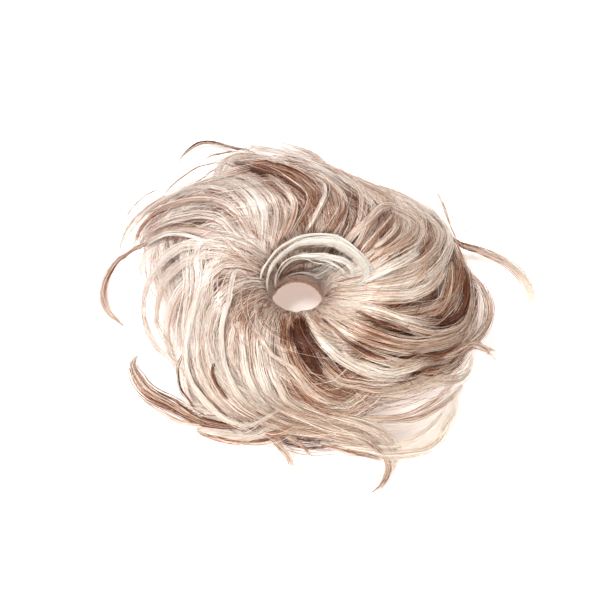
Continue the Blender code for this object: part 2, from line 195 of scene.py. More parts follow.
@dataclass(frozen=True)
class HairFinish:
    """Glossy false hair. Its map holds the strand's tone across and the way from root to tip along."""

    name: str = "false_hair"
    roughness: float = 0.29
    metallic: float = 0.26
    ior: float = 1.50
    specular: float = 0.8
    translucent: float = 0.30
    tip_lift: float = 0.10
    cool_tint: Triple = (0.99, 0.985, 1.02)
    warm_tint: Triple = (1.00, 0.965, 0.925)
    warm_way: Pair = (4.5, -6.4)
    shades: tuple[tuple[float, Triple], ...] = (
        (0.00, (0.98, 0.93, 0.86)),
        (0.15, (0.91, 0.81, 0.71)),
        (0.36, (0.75, 0.56, 0.43)),
        (0.58, (0.46, 0.20, 0.10)),
        (0.80, (0.19, 0.05, 0.018)),
        (1.00, (0.05, 0.013, 0.006)),
    )

    def build(self) -> Material:
        """Colour from the tone, a little paler to the tip and warmer to the right, with a gloss.

        Returns:
            The material.
        """
        shader = Shader(self.name)
        uv = shader.add("UVMap", {"uv_map": BAKE_MAP}, {})
        tone, along = shader.axis(uv, "X"), shader.axis(uv, "Y")
        lifted = tone - self.tip_lift * along + 0.5 * self.tip_lift
        shade = shader.add("ValToRGB", {"stops": self.shades}, {0: lifted})
        place = shader.place()
        east, north = (shader.axis(place, letter) for letter in "XY")
        warmth = 0.5 + self.warm_way[0] * east + self.warm_way[1] * north
        warmth = shader.add("Clamp", {}, {"Value": warmth})
        tint = shader.mix(warmth, self.cool_tint, self.warm_tint)
        colour = shader.mix(1.0, shade, tint, "MULTIPLY")
        values = {
            "Base Color": colour,
            "Roughness": self.roughness,
            "Metallic": self.metallic,
            "IOR": self.ior,
            "Specular IOR Level": self.specular,
        }
        glossy = shader.add("BsdfPrincipled", {}, values)
        through = shader.add("BsdfTranslucent", {}, {"Color": colour})
        return shader.finish(
            shader.add("MixShader", {}, {0: self.translucent, 1: glossy, 2: through})
        )


CURL_FINISH = HairFinish(
    name="pale_curl_hair",
    metallic=0.12,
    translucent=0.36,
    cool_tint=(1.0, 1.0, 1.0),
    warm_tint=(1.0, 1.0, 1.0),
    shades=(
        (0.00, (0.98, 0.95, 0.89)),
        (0.15, (0.90, 0.83, 0.75)),
        (0.36, (0.66, 0.53, 0.44)),
        (0.58, (0.46, 0.27, 0.18)),
        (0.80, (0.17, 0.06, 0.03)),
        (1.00, (0.05, 0.013, 0.006)),
    ),
)


class Bands(Enum):
    """How the threads of a woven finish run."""

    AROUND = "Z"
    SLANTING = "DIAGONAL"


@dataclass(frozen=True)
class WovenFinish:
    """Matt thread in bands, such as knit ribs or stitches, with a mottle over them."""

    name: str
    deep: Triple
    raised: Triple
    bands: Bands
    scale: float
    distortion: float
    detail: float
    mottle_share: float
    bump: float
    bump_depth: float
    roughness: float
    mottle_scale: float = 420.0
    mottle_detail: float = 3.0

    def build(self) -> Material:
        """Bands as bump, with painted shade where they lie deep.

        Returns:
            The material.
        """
        shader = Shader(self.name)
        place = shader.place()
        settings = {"wave_type": "BANDS", "bands_direction": self.bands.value}
        values = {"Vector": place, "Scale": self.scale, "Distortion": self.distortion, "Detail": self.detail}
        band = shader.add("TexWave", settings, values, "Fac")
        values = {"Vector": place, "Scale": self.mottle_scale, "Detail": self.mottle_detail}
        mottle = shader.add("TexNoise", {}, values, "Fac")
        share = band * (1 - self.mottle_share) + mottle * self.mottle_share
        # The deep colour where the bands lie low is painted shade in the grooves.
        colour = shader.mix(share, self.deep, self.raised)
        values = {"Height": band, "Strength": self.bump, "Distance": self.bump_depth}
        bump = shader.add("Bump", {}, values)
        values = {"Base Color": colour, "Roughness": self.roughness, "Normal": bump}
        return shader.finish(shader.add("BsdfPrincipled", {}, values))


CASING_FINISH = WovenFinish(
    name="elastic_casing",
    deep=(0.60, 0.42, 0.35),
    raised=(0.78, 0.60, 0.52),
    bands=Bands.AROUND,
    scale=900.0,
    distortion=1.5,
    detail=1.0,
    mottle_share=0.5,
    bump=0.35,
    bump_depth=0.2 * MM,
    roughness=0.82,
)

TRACK_FINISH = WovenFinish(
    name="weft_thread",
    deep=(0.30, 0.19, 0.13),
    raised=(0.50, 0.36, 0.27),
    bands=Bands.SLANTING,
    scale=260.0,
    distortion=3.0,
    detail=2.0,
    mottle_share=0.0,
    bump=0.5,
    bump_depth=0.3 * MM,
    roughness=0.8,
)


@dataclass(frozen=True)
class TableFinish:
    """The plain pale table, which glows a little, so that shadows on it stay light and warm."""

    name: str = "pale_table"
    colour: Triple = (0.80, 0.80, 0.80)
    glow: Triple = (0.42, 0.33, 0.28)
    roughness: float = 0.9

    def build(self) -> Material:
        """One matt surface.

        Returns:
            The material.
        """
        shader = Shader(self.name)
        values = {
            "Base Color": self.colour,
            "Roughness": self.roughness,
            "Emission Color": self.glow,
            "Emission Strength": 1.0,
        }
        return shader.finish(shader.add("BsdfPrincipled", {}, values))


# Shapes


def unit(vectors: Array) -> Array:
    """Vectors scaled to length one along the last axis."""
    return vectors / np.maximum(np.linalg.norm(vectors, axis=-1, keepdims=True), NO_LENGTH)


def square_to(vectors: Array, tangent: Array) -> Array:
    """Unit vectors with what points along the tangent taken out."""
    return unit(vectors - tangent * np.sum(vectors * tangent, axis=1, keepdims=True))


def smooth_step(t: Array) -> Array:
    """Runs from 0 to 1 with level ends: three t squared less two t cubed."""
    t = np.clip(t, 0.0, 1.0)
    return t * t * (3.0 - 2.0 * t)


def cubic(a: Array, b: Array, c: Array, d: Array, t: Array) -> Array:
    """The cubic from b to c whose slope at each is half the way between its neighbours."""
    return b + 0.5 * t * (c - a + t * (2 * a - 5 * b + 4 * c - d + t * (3 * (b - c) + d - a)))


def curve_through(points: Array, steps: int) -> Array:
    """A smooth curve through points, evenly spaced along its length.

    Args:
        points: (P, D) points to pass through.
        steps: number of points to hand back.

    Returns:
        (steps, D) points on the curve.
    """
    samples = SAMPLES_A_POINT * len(points)
    padded = np.vstack([2 * points[0] - points[1], points, 2 * points[-1] - points[-2]])
    place = np.linspace(0.0, len(points) - 1.0, samples)
    k = np.minimum(place.astype(int), len(points) - 2)
    return evenly_spaced(cubic(*(padded[k + i] for i in range(4)), (place - k)[:, None]), steps)


def evenly_spaced(points: Array, steps: int) -> Array:
    """Points along a line of points, with equal lengths between them.

    Args:
        points: (P, D) points of the line.
        steps: number of points to hand back.

    Returns:
        (steps, D) points.
    """
    gaps = np.linalg.norm(np.diff(points, axis=0), axis=1)
    length = np.concatenate([[0.0], np.cumsum(gaps)])
    wanted = np.linspace(0.0, length[-1], steps)
    return np.stack([np.interp(wanted, length, column) for column in points.T], axis=1)


@dataclass(frozen=True)
class WreathForm:
    """The wreath's outer form: an outline from above and a section from the ring to the outline.

    outline holds shares of the half width, a step apart. section and droop hold (share of the way
    out, share of the height), and airy holds (degrees, spread in degrees, share of the reach) where
    the hair is loose.
    """

    ring_radius: float = 13.0 * MM
    half_width: float = 96.0 * MM
    height: float = 48.0 * MM
    tip_height: float = 9.0 * MM
    slope_step: float = 2.0 * MM
    outline_step: float = 20.0
    outline: tuple[float, ...] = (
        0.99, 0.93, 0.885, 0.79, 0.81, 0.855, 0.865, 0.94, 0.96,
        0.85, 0.79, 0.80, 0.82, 0.79, 0.81, 0.93, 1.00, 1.00,
    )
    section: tuple[Pair, ...] = (
        (0.000, 0.02), (0.010, 0.32), (0.020, 0.58), (0.065, 0.78), (0.150, 0.90), (0.270, 0.975),
        (0.410, 1.00), (0.560, 0.94), (0.700, 0.78), (0.830, 0.52), (0.930, 0.23), (1.000, 0.00),
    )
    droop: tuple[Pair, ...] = ((1.10, 0.60), (1.25, 0.25))
    airy: tuple[Triple, ...] = ((184.0, 24.0, 0.22), (311.0, 21.0, 0.28))

    def outline_radius(self, angle: Array) -> Array:
        """Radius of the outline: a closed curve through the outline's shares.

        Args:
            angle: angles round the ring.

        Returns:
            The radius at each angle.
        """
        share = np.array(self.outline)
        place = np.degrees(angle) / self.outline_step
        k = np.floor(place).astype(int)
        around = (share[(k + i) % len(share)] for i in (-1, 0, 1, 2))
        return self.half_width * cubic(*around, place - k)

    def share(self, x: Array, y: Array) -> Array:
        """Share of the way from the ring to the outline."""
        edge = self.outline_radius(np.arctan2(y, x))
        return (np.hypot(x, y) - self.ring_radius) / (edge - self.ring_radius)

    def fullness(self, angle: Array) -> Array:
        """Share of the outline that the close hair reaches; the rest is loose there.

        Args:
            angle: angles round the ring.

        Returns:
            The share at each angle.
        """
        full = np.ones_like(angle)
        for degrees, spread, less in self.airy:
            away = (np.degrees(angle) - degrees + 180.0) % 360.0 - 180.0
            full = full - less * np.exp(-((away / spread) ** 2))
        return full

    def plan(self, angle: Array, out: Array, edge: Array) -> tuple[Array, Array]:
        """Plan places at each angle and share of the way out from the ring to an edge."""
        radius = self.ring_radius + (edge - self.ring_radius) * out
        return radius * np.cos(angle), radius * np.sin(angle)

    def surface(self, x: Array, y: Array) -> Array:
        """Height of the locks' crests, drooping to the table beyond the outline.

        Args:
            x: places across.
            y: places away.

        Returns:
            The height at each place.
        """
        rise = self.height - self.tip_height
        stations = [(out, self.tip_height + up * rise) for out, up in self.section]
        stations += [(out, up * self.tip_height) for out, up in self.droop]
        return np.interp(self.share(x, y), *np.array(stations).T)

    def facing(self, x: Array, y: Array) -> Array:
        """Unit normals of the crests, from the height a small step further in and out.

        Args:
            x: places across.
            y: places away.

        Returns:
            The normal at each place.
        """
        radius = np.hypot(x, y)
        inner, outer = 1 - self.slope_step / radius, 1 + self.slope_step / radius
        rise = self.surface(x * outer, y * outer) - self.surface(x * inner, y * inner)
        slope = rise / (2 * self.slope_step)
        return unit(np.stack([-slope * x / radius, -slope * y / radius, np.ones_like(x)], axis=-1))


class Layer(Enum):
    """Which part of the hair a lock belongs to, by its CAD node."""

    UPPER = "upper_locks"
    LOWER = "lower_locks"
    CURL = "crown_curl"


@dataclass(frozen=True)
class Lock:
    """One lock of hair.

    route holds its plan places x,y from root to tip, and for the curl their heights too. All lengths
    are in millimetres. lift is the height over the wreath's form at the root, the middle and the
    tip, and tone holds the root's and the tip's. stray is the share of its strands that leave it,
    and region_share is how far it takes the tone of its place.
    """

    route: str
    width: float
    thick: float
    lift: Triple
    tone: Pair
    strands: int
    tip_width: float = 0.5
    stray: float = 0.05
    layer: Layer = Layer.UPPER
    region_share: float = 0.0

    def places(self) -> Array:
        """The route's places, in metres."""
        return MM * np.array([place.split(",") for place in self.route.split()], float)


@dataclass
class Strands:
    """Centre lines, radii and tones of many strands, all with the same number of steps."""

    points: Array
    radius: Array
    tone: Array

    def part(self, chosen: Array) -> "Strands":
        """The strands that a mask chooses."""
        return Strands(self.points[chosen], self.radius[chosen], self.tone[chosen])


def joined(bundles: Iterable[Strands]) -> Strands:
    """All bundles as one; they share their number of steps."""
    columns = zip(*((b.points, b.radius, b.tone) for b in bundles))
    return Strands(*(np.concatenate(column) for column in columns))


def bell_sum(x: Array, y: Array, rows: Iterable[Row]) -> Array:
    """Sum of bells over a plan.

    Args:
        x: places across.
        y: places away.
        rows: (x, y, radius, height) of each bell.

    Returns:
        The sum at each place.
    """
    total = np.zeros(x.shape)
    for east, north, radius, height in rows:
        away = np.hypot(x - east, y - north) / radius
        total += height * np.exp(-away * away)
    return total


@dataclass(frozen=True)
class ToneMap:
    """Tone of the hair by place.

    Each patch is (degrees, share of the half width, radius as a share, change of tone), for locks
    that take the tone of their place. Each painted gleam or darkening is (x, y, radius in millimetres,
    change of tone), for all locks: below 0 it is a painted highlight, above 0 it darkens the tone.
    """

    half_width: float
    ground: float = 0.26
    patches: tuple[Row, ...] = (
        (84, 0.42, 0.20, 0.26), (102, 0.72, 0.15, 0.50), (48, 0.52, 0.20, 0.22),
        (20, 0.60, 0.20, 0.16), (6, 0.86, 0.14, 0.72), (340, 0.72, 0.20, 0.38),
        (324, 0.52, 0.18, 0.26), (316, 0.64, 0.16, 0.26), (268, 0.66, 0.20, 0.08),
        # The bell at 272 degrees, near the ring, is painted shade for the deep gap between locks in front of
        # the opening.
        (272, 0.34, 0.11, 0.75), (285, 0.60, 0.18, 0.12), (206, 0.28, 0.11, 0.24),
        (226, 0.37, 0.10, 0.18), (153, 0.88, 0.09, 0.26), (138, 0.90, 0.22, -0.12),
        (178, 0.64, 0.30, -0.18), (226, 0.62, 0.24, -0.10), (252, 0.80, 0.08, 0.30),
        (318, 0.95, 0.15, -0.10), (140, 0.55, 0.22, -0.08), (188, 0.90, 0.22, -0.18),
    )
    # Painted highlights where the change is below 0, darkenings where it is above 0.
    painted_gleams_and_darks: tuple[Row, ...] = (
        (18, -31, 7, -0.40), (28, -13, 8, -0.36), (56, -8, 9, -0.26), (50, -25, 7, -0.26),
        (41, -46, 8, -0.36), (41, 2, 7, -0.16), (-48, -8, 12, -0.10), (-15, -50, 8, -0.16),
        (38, -34, 12, 0.24), (2, -61, 20, 0.07), (-52, -12, 22, 0.05), (14, 47, 16, -0.06),
    )

    def at(self, x: Array, y: Array) -> Array:
        """The ground tone plus the patches.

        Args:
            x: places across.
            y: places away.

        Returns:
            The tone at each place.
        """
        rows = (
            (share * math.cos(math.radians(degrees)), share * math.sin(math.radians(degrees)), *bell)
            for degrees, share, *bell in self.patches
        )
        return self.ground + bell_sum(x / self.half_width, y / self.half_width, rows)

    def painted_gleams_and_darks_at(self, x: Array, y: Array) -> Array:
        """Change of tone by the painted gleams and darkenings."""
        return bell_sum(x / MM, y / MM, self.painted_gleams_and_darks)


@dataclass
class Comb:
    """Lays strands along locks.

    A strand's place in its lock's oval section is given in shares of the half width and of the half
    thickness, and its way along the lock from 0 at the root to 1 at the tip. Spreads are standard
    deviations, and the noises, the painted depth shade and the painted sheen are changes of tone: strands
    that lie deep in a lock get painted shade, and the tone rises and falls along each strand as a
    painted sheen.
    """

    form: WreathForm
    tones: ToneMap
    rng: np.random.Generator
    strand_radius: float = 0.135 * MM
    radius_range: Pair = (0.75, 1.2)
    floor_gap: float = 0.25 * MM
    opening_radius: float = 13.4 * MM
    curl_radius: float = 10.4 * MM
    samples: int = 72
    smoothings: int = 12
    latest_start: float = 0.06
    earliest_end: float = 0.22
    section_spread: float = 0.50
    section_limit: float = 1.2
    section_depth: float = 1.3
    least_crest: float = 0.04
    clump_size: int = 7
    clump_bend: float = 0.35
    root_pull: float = 0.12
    tip_pull: float = 0.42
    pull_end: float = 0.9
    drift: float = 0.20
    drift_pivot: float = 0.4
    stray_reach: float = 1.1
    stray_rise: float = 1.8 * MM
    wave: float = 0.28 * MM
    wave_turns: Pair = (0.8, 2.4)
    painted_depth_shade: float = 0.24
    showing_depth: float = 0.4
    clump_noise: float = 0.18
    strand_noise: float = 0.12
    painted_shimmer: float = 0.05
    tone_range: Pair = (0.03, 0.97)
    profile: tuple[Pair, ...] = ((0.0, 0.30), (0.2, 0.75), (0.5, 1.0), (0.8, 0.85))
    taper: tuple[Pair, ...] = ((0.0, 0.7), (0.1, 1.0), (0.7, 1.0), (1.0, 0.35))

    def guide(self, lock: Lock) -> Array:
        """The lock's (samples, 3) middle line: its route over the form, or the curl's own route."""
        if lock.layer is Layer.CURL:
            return curve_through(lock.places(), self.samples)
        return self.draped(curve_through(lock.places(), 3 * self.samples), lock.lift)

    def draped(self, flat: Array, lift: Triple) -> Array:
        """A plan line laid over the form, lifted, smoothed and evenly spaced.

        Args:
            flat: (P, 2) plan places.
            lift: millimetres over the form at the root, the middle and the tip.

        Returns:
            (samples, 3) points.
        """
        t = np.linspace(0.0, 1.0, len(flat))
        height = self.form.surface(*flat.T) + MM * np.interp(t, (0.0, 0.5, 1.0), lift)
        for _ in range(self.smoothings):
            height[1:-1] = (height[:-2] + 2 * height[1:-1] + height[2:]) / 4
        return evenly_spaced(np.column_stack([flat, height]), self.samples)

    def lay(self, lock: Lock, middle: Array, steps: int = 17) -> Strands:
        """Strands of one lock: each keeps a place in the lock's section, clumped towards the tip.

        Args:
            lock: the lock's sizes and tone.
            middle: its (samples, 3) middle line.
            steps: points along each strand.

        Returns:
            The lock's strands.
        """
        rng, count = self.rng, lock.strands
        tangent = unit(np.gradient(middle, axis=0))
        facing = square_to(self.form.facing(*middle[:, :2].T), tangent)
        across = np.cross(tangent, facing)
        start = rng.uniform(0.0, self.latest_start, count)[:, None]
        end = 1.0 - self.earliest_end * rng.random((count, 1)) ** 2
        along = start + (end - start) * np.linspace(0.0, 1.0, steps)
        grid = np.linspace(0.0, 1.0, len(middle))

        def on_guide(values: Array) -> Array:
            """Reads the guide's values at every strand's steps."""
            return np.stack([np.interp(along, grid, column) for column in values.T], axis=-1)

        clumps = max(1, count // self.clump_size)
        clump = rng.integers(0, clumps, count)
        u, v = self.clumped(along, clumps, clump)
        stray = rng.random((count, 1)) < lock.stray
        u = u + self.stray_reach * along**2 * np.where(stray, rng.normal(0.0, 1.0, (count, 1)), 0.0)
        rise = np.where(stray, np.abs(rng.normal(0.0, 1.0, (count, 1))), 0.0)
        phase = rng.uniform(0.0, FULL_TURN, (2, count, 1))
        waves = FULL_TURN * rng.uniform(*self.wave_turns, (2, count, 1)) * along
        side, over = self.wave * along * np.sin(waves + phase)
        over = over + self.stray_rise * rise * along

        profile = np.interp(along, *np.array((*self.profile, (1.0, lock.tip_width))).T)
        points = (
            on_guide(middle)
            + on_guide(across) * (0.5 * MM * lock.width * profile * u + side)[..., None]
            + on_guide(facing) * (0.5 * MM * lock.thick * profile * v + over)[..., None]
        )
        least = self.curl_radius if lock.layer is Layer.CURL else self.opening_radius
        points = self.kept_clear(points, least)
        taper = np.interp(along, *np.array(self.taper).T)
        radius = self.strand_radius * taper * rng.uniform(*self.radius_range, (count, 1))

        x, y = points[..., 0], points[..., 1]
        tone = np.interp(along, (0.0, 1.0), lock.tone) + self.tones.at(x, y) * lock.region_share
        tone = tone + rng.normal(0.0, self.clump_noise, clumps)[clump][:, None]
        tone = tone + rng.normal(0.0, self.strand_noise, (count, 1))
        # Painted sheen: the tone rises and falls along each strand.
        tone = tone + self.painted_shimmer * np.sin(waves[0] + phase[1])
        # Painted shade on strands that lie deep in the lock, then painted gleams and darkenings by place.
        tone = tone - self.painted_depth_shade * (v - self.showing_depth) + self.tones.painted_gleams_and_darks_at(x, y)
        return Strands(points, radius, np.clip(tone, *self.tone_range))

    def clumped(self, along: Array, clumps: int, clump: Array) -> tuple[Array, Array]:
        """Places of strands in their lock's section, drawn together by clumps towards the tip.

        Args:
            along: (strands, steps) way along the lock.
            clumps: number of clumps.
            clump: each strand's clump.

        Returns:
            Shares of the half width and of the half thickness, each (strands, steps).
        """
        count = len(along)
        own = self.section_places(count)
        middle = self.section_places(clumps)
        bend = self.rng.normal(0.0, self.clump_bend, clumps)[clump]
        apart = 1 - self.root_pull - self.tip_pull * smooth_step(along / self.pull_end)
        u, v = (
            shared[clump][:, None] + (single - shared[clump])[:, None] * apart
            for single, shared in zip(own, middle)
        )
        drift = 2 * self.rng.normal(0.0, self.drift, (count, 1)) * (along - self.drift_pivot)
        return u + bend[:, None] * along**2 + drift, v

    def section_places(self, count: int) -> tuple[Array, Array]:
        """Places in a lock's oval section, most of them near its upper side, where they show.

        Args:
            count: number of places.

        Returns:
            The share of the half width and of the half thickness of each place.
        """
        spread = self.rng.normal(0.0, self.section_spread, count)
        across = np.clip(spread, -self.section_limit, self.section_limit)
        crest = np.sqrt(np.maximum(1.0 - across**2, self.least_crest))
        return across, crest * (1.0 - self.section_depth * self.rng.random(count) ** 2)

    def kept_clear(self, points: Array, least: float) -> Array:
        """Points moved out from the opening and up off the table.

        Args:
            points: places, with x, y and z along the last axis.
            least: least distance from the opening's axis.

        Returns:
            The moved points.
        """
        points = points.copy()
        radius = np.hypot(points[..., 0], points[..., 1])
        points[..., :2] *= np.maximum(least / np.maximum(radius, NO_LENGTH), 1.0)[..., None]
        points[..., 2] = np.maximum(points[..., 2], self.floor_gap)
        return points


TUBE_SIDES = 3
SIDE_TONES = (-0.008, 0.0, 0.008)
TUBE_START = (0.3, -0.5, 0.8)
TONE_LIMITS = (0.01, 0.99)
WAY_LIMITS = (0.02, 0.98)


def strand_mesh(name: str, strands: Strands) -> Piece:
    """Closed three-sided tubes along every strand, with tone and way along in the map.

    Each ring stands square to its strand. The first side is carried from ring to ring by taking out
    what points along the strand, so that no tube twists.

    Args:
        name: the new object's name.
        strands: the strands to cover.

    Returns:
        The object, linked to the scene.
    """
    count, steps = strands.points.shape[:2]
    tangent = unit(np.gradient(strands.points, axis=1))
    side = np.empty_like(tangent)
    side[:, 0] = unit(np.cross(tangent[:, 0], TUBE_START))
    for step in range(1, steps):
        side[:, step] = square_to(side[:, step - 1], tangent[:, step])
    other = np.cross(tangent, side)
    turn = FULL_TURN * np.arange(TUBE_SIDES)[:, None] / TUBE_SIDES
    spokes = side[:, :, None] * np.cos(turn) + other[:, :, None] * np.sin(turn)
    rings = strands.points[:, :, None] + strands.radius[:, :, None, None] * spokes

    corner = np.arange(count * steps * TUBE_SIDES).reshape(count, steps, TUBE_SIDES)
    ahead = np.roll(corner, -1, axis=2)
    quads = np.stack([corner[:, :-1], ahead[:, :-1], ahead[:, 1:], corner[:, 1:]], axis=-1)
    caps = np.concatenate([corner[:, 0, ::-1], corner[:, -1]])
    loops = np.concatenate([quads.ravel(), caps.ravel()])
    cap_starts = quads.size + np.arange(len(caps)) * TUBE_SIDES
    starts = np.concatenate([np.arange(0, quads.size, 4), cap_starts])

    tone = np.repeat(strands.tone[:, :, None], TUBE_SIDES, axis=2) + np.array(SIDE_TONES)
    along = np.broadcast_to(np.linspace(*WAY_LIMITS, steps)[None, :, None], tone.shape)
    places = np.stack([np.clip(tone, *TONE_LIMITS), along], axis=-1).reshape(-1, 2)
    return new_object(name, rings.reshape(-1, 3), loops, starts, places[loops])


def new_object(name: str, points: Array, loops: Array, starts: Array, places: Array) -> Piece:
    """A smooth-shaded object from arrays.

    Args:
        name: the object's and the mesh's name.
        points: (P, 3) vertices.
        loops: vertex number of every face corner, face by face.
        starts: first corner of every face.
        places: (corners, 2) map values.

    Returns:
        The object, linked to the scene.
    """
    mesh = bpy.data.meshes.new(name)
    mesh.vertices.add(len(points))
    mesh.vertices.foreach_set("co", np.ascontiguousarray(points, dtype=np.float32).ravel())
    mesh.loops.add(len(loops))
    mesh.loops.foreach_set("vertex_index", loops.astype(np.int32))
    mesh.polygons.add(len(starts))
    mesh.polygons.foreach_set("loop_start", starts.astype(np.int32))
    mesh.update(calc_edges=True)
    layer = mesh.uv_layers.new(name=BAKE_MAP)
    layer.data.foreach_set("uv", np.ascontiguousarray(places, dtype=np.float32).ravel())
    mesh.shade_smooth()
    piece = bpy.data.objects.new(name, mesh)
    bpy.context.scene.collection.objects.link(piece)
    return piece


def ring_mesh(name: str, grid: Array, tone: Array | None = None) -> Piece:
    """A closed surface from grid[column, row], both of which close on themselves.

    Args:
        name: the new object's name.
        grid: (columns, rows, 3) points; rows run so that faces point outwards.
        tone: (columns, rows, 4) tones at each face's corners, or None for the way round.

    Returns:
        The object, linked to the scene.
    """
    columns, rows = grid.shape[:2]
    number = np.arange(columns * rows).reshape(columns, rows)
    right = np.roll(number, -1, axis=0)
    quads = [number, right, np.roll(right, -1, axis=1), np.roll(number, -1, axis=1)]
    loops = np.stack(quads, axis=-1).reshape(-1)
    if tone is None:
        tone = face_columns(columns) / columns
    v = (np.arange(rows)[None, :, None] + np.array([0, 0, 1, 1])) / rows
    places = np.stack(np.broadcast_arrays(tone, v), axis=-1).reshape(-1, 2)
    return new_object(name, grid.reshape(-1, 3), loops, np.arange(0, len(loops), 4), places)


def face_columns(columns: int) -> Array:
    """Column number at the four corners of each column's faces, as (columns, 1, 4)."""
    return np.arange(columns)[:, None, None] + np.array([0, 1, 1, 0])


def dress(piece: Piece, material: Material, slot: str, *replaced: str) -> Piece:
    """Gives a piece its material and body, and hides the CAD nodes that it stands for.

    Args:
        piece: the visible piece.
        material: its material.
        slot: its material slot in the record; not used.
        replaced: names of the CAD nodes that it stands for.

    Returns:
        The piece.
    """
    piece.data.materials.clear()
    piece.data.materials.append(material)
    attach(piece, ROOT_BODY)
    if replaced:
        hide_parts(*replaced)
    piece.data.calc_loop_triangles()
    LOG.info("%s: %d triangles", piece.name, len(piece.data.loop_triangles))
    return piece


# Sub-assemblies


@dataclass
class UnderHair:
    """The close inner hair that fills the wreath below its combed locks, darkened throughout as painted
    shade.

    stations holds its section: (share of the way out, share of the height), round and back. Furrows
    and streaks run along its columns.
    """

    form: WreathForm
    tones: ToneMap
    columns: int = 180
    sweep: float = 72.0
    sweep_power: float = 1.7
    depth: float = 5.5 * MM
    furrow_depth: float = 0.6 * MM
    furrows: tuple[int, int] = (41, 67)
    furrow_lag: float = 1.0
    furrow_fade: float = 4.0
    painted_under_shade: float = 0.32
    streak: float = 0.12
    streak_turns: Pair = (2.4, 0.61)
    streak_lag: float = 1.0
    tone_range: Pair = (0.05, 0.95)
    stations: tuple[Pair, ...] = (
        (0.04, 0.62), (0.09, 0.78), (0.17, 0.88), (0.29, 0.95), (0.42, 0.97), (0.56, 0.91),
        (0.65, 0.74), (0.72, 0.54), (0.77, 0.34), (0.79, 0.18), (0.76, 0.06), (0.66, 0.03),
        (0.50, 0.03), (0.30, 0.03), (0.16, 0.03), (0.10, 0.06), (0.08, 0.20), (0.05, 0.40),
    )

    def build(self, material: Material) -> Piece:
        """A swept ring: each column turns as it goes out, and shallow furrows run along it.

        Args:
            material: the hair's material.

        Returns:
            The dressed piece.
        """
        out, up = np.array(self.stations)[::-1].T
        root = FULL_TURN * np.arange(self.columns)[:, None] / self.columns
        angle = root + math.radians(self.sweep) * out[None, :] ** self.sweep_power
        edge = self.form.outline_radius(angle) * self.form.fullness(angle)
        x, y = self.form.plan(angle, out, edge)
        few, many = self.furrows
        furrow = np.sin(few * root) + np.sin(many * root + self.furrow_lag)
        furrow = self.furrow_depth * furrow * np.clip(up * self.furrow_fade, 0, 1)
        height = up * (self.form.height - self.depth) + furrow

        column = face_columns(self.columns)
        fast, slow = self.streak_turns
        streak = self.streak * np.sin(column * fast) * np.sin(column * slow + self.streak_lag)
        region = self.tones.at(x, y)
        next_row = np.roll(region, -1, axis=1)
        corners = [region, np.roll(region, -1, axis=0), np.roll(next_row, -1, axis=0), next_row]
        # The under hair is darkened throughout: painted shade for the gaps between the locks above it.
        tone = np.stack(corners, axis=-1) + self.painted_under_shade + streak
        grid = np.stack([x, y, height], axis=-1)
        piece = ring_mesh("inner_hair", grid, np.clip(tone, *self.tone_range))
        return dress(piece, material, "lower_hair", Layer.LOWER.value)


def quartered(name: str, strands: Strands, material: Material) -> list[Piece]:
    """Upper hair as four pieces, split by the side of the opening that each strand's middle lies on.

    Args:
        name: start of each piece's name.
        strands: all the strands.
        material: the hair's material.

    Returns:
        The dressed pieces: right, back, left and front.
    """
    middle = strands.points[:, strands.points.shape[1] // 2]
    turned = np.degrees(np.arctan2(middle[:, 1], middle[:, 0])) + 45.0
    quarter = np.floor(turned / 90.0) % 4
    pieces = []
    for number, side in enumerate(("right", "back", "left", "front")):
        piece = strand_mesh(f"{name}_{side}", strands.part(quarter == number))
        pieces.append(dress(piece, material, "upper_hair", Layer.UPPER.value))
    return pieces


@dataclass(frozen=True)
class LayerRule:
    """How the ruled locks of one layer run.

    sweep is in degrees and first and reach are shares of the way out. sweep and tone are a mean and a
    spread, and reach is a least and a most. airiness is how far the loose stretches of the outline
    hold the locks back.
    """

    layer: Layer
    count: int
    strands: int
    steps: int
    width: float
    thick: float
    sweep: Pair
    first: float
    reach: Pair
    airiness: float
    tone: Pair


UPPER_RULE = LayerRule(
    layer=Layer.UPPER, count=60, strands=80, steps=14, width=10.0, thick=6.0, sweep=(84.0, 14.0),
    first=0.004, reach=(0.72, 0.95), airiness=1.0, tone=(0.0, 0.13),
)
LOWER_RULE = LayerRule(
    layer=Layer.LOWER, count=24, strands=40, steps=12, width=24.0, thick=9.0, sweep=(62.0, 12.0),
    first=0.12, reach=(0.80, 0.98), airiness=0.7, tone=(0.1, 0.10),
)


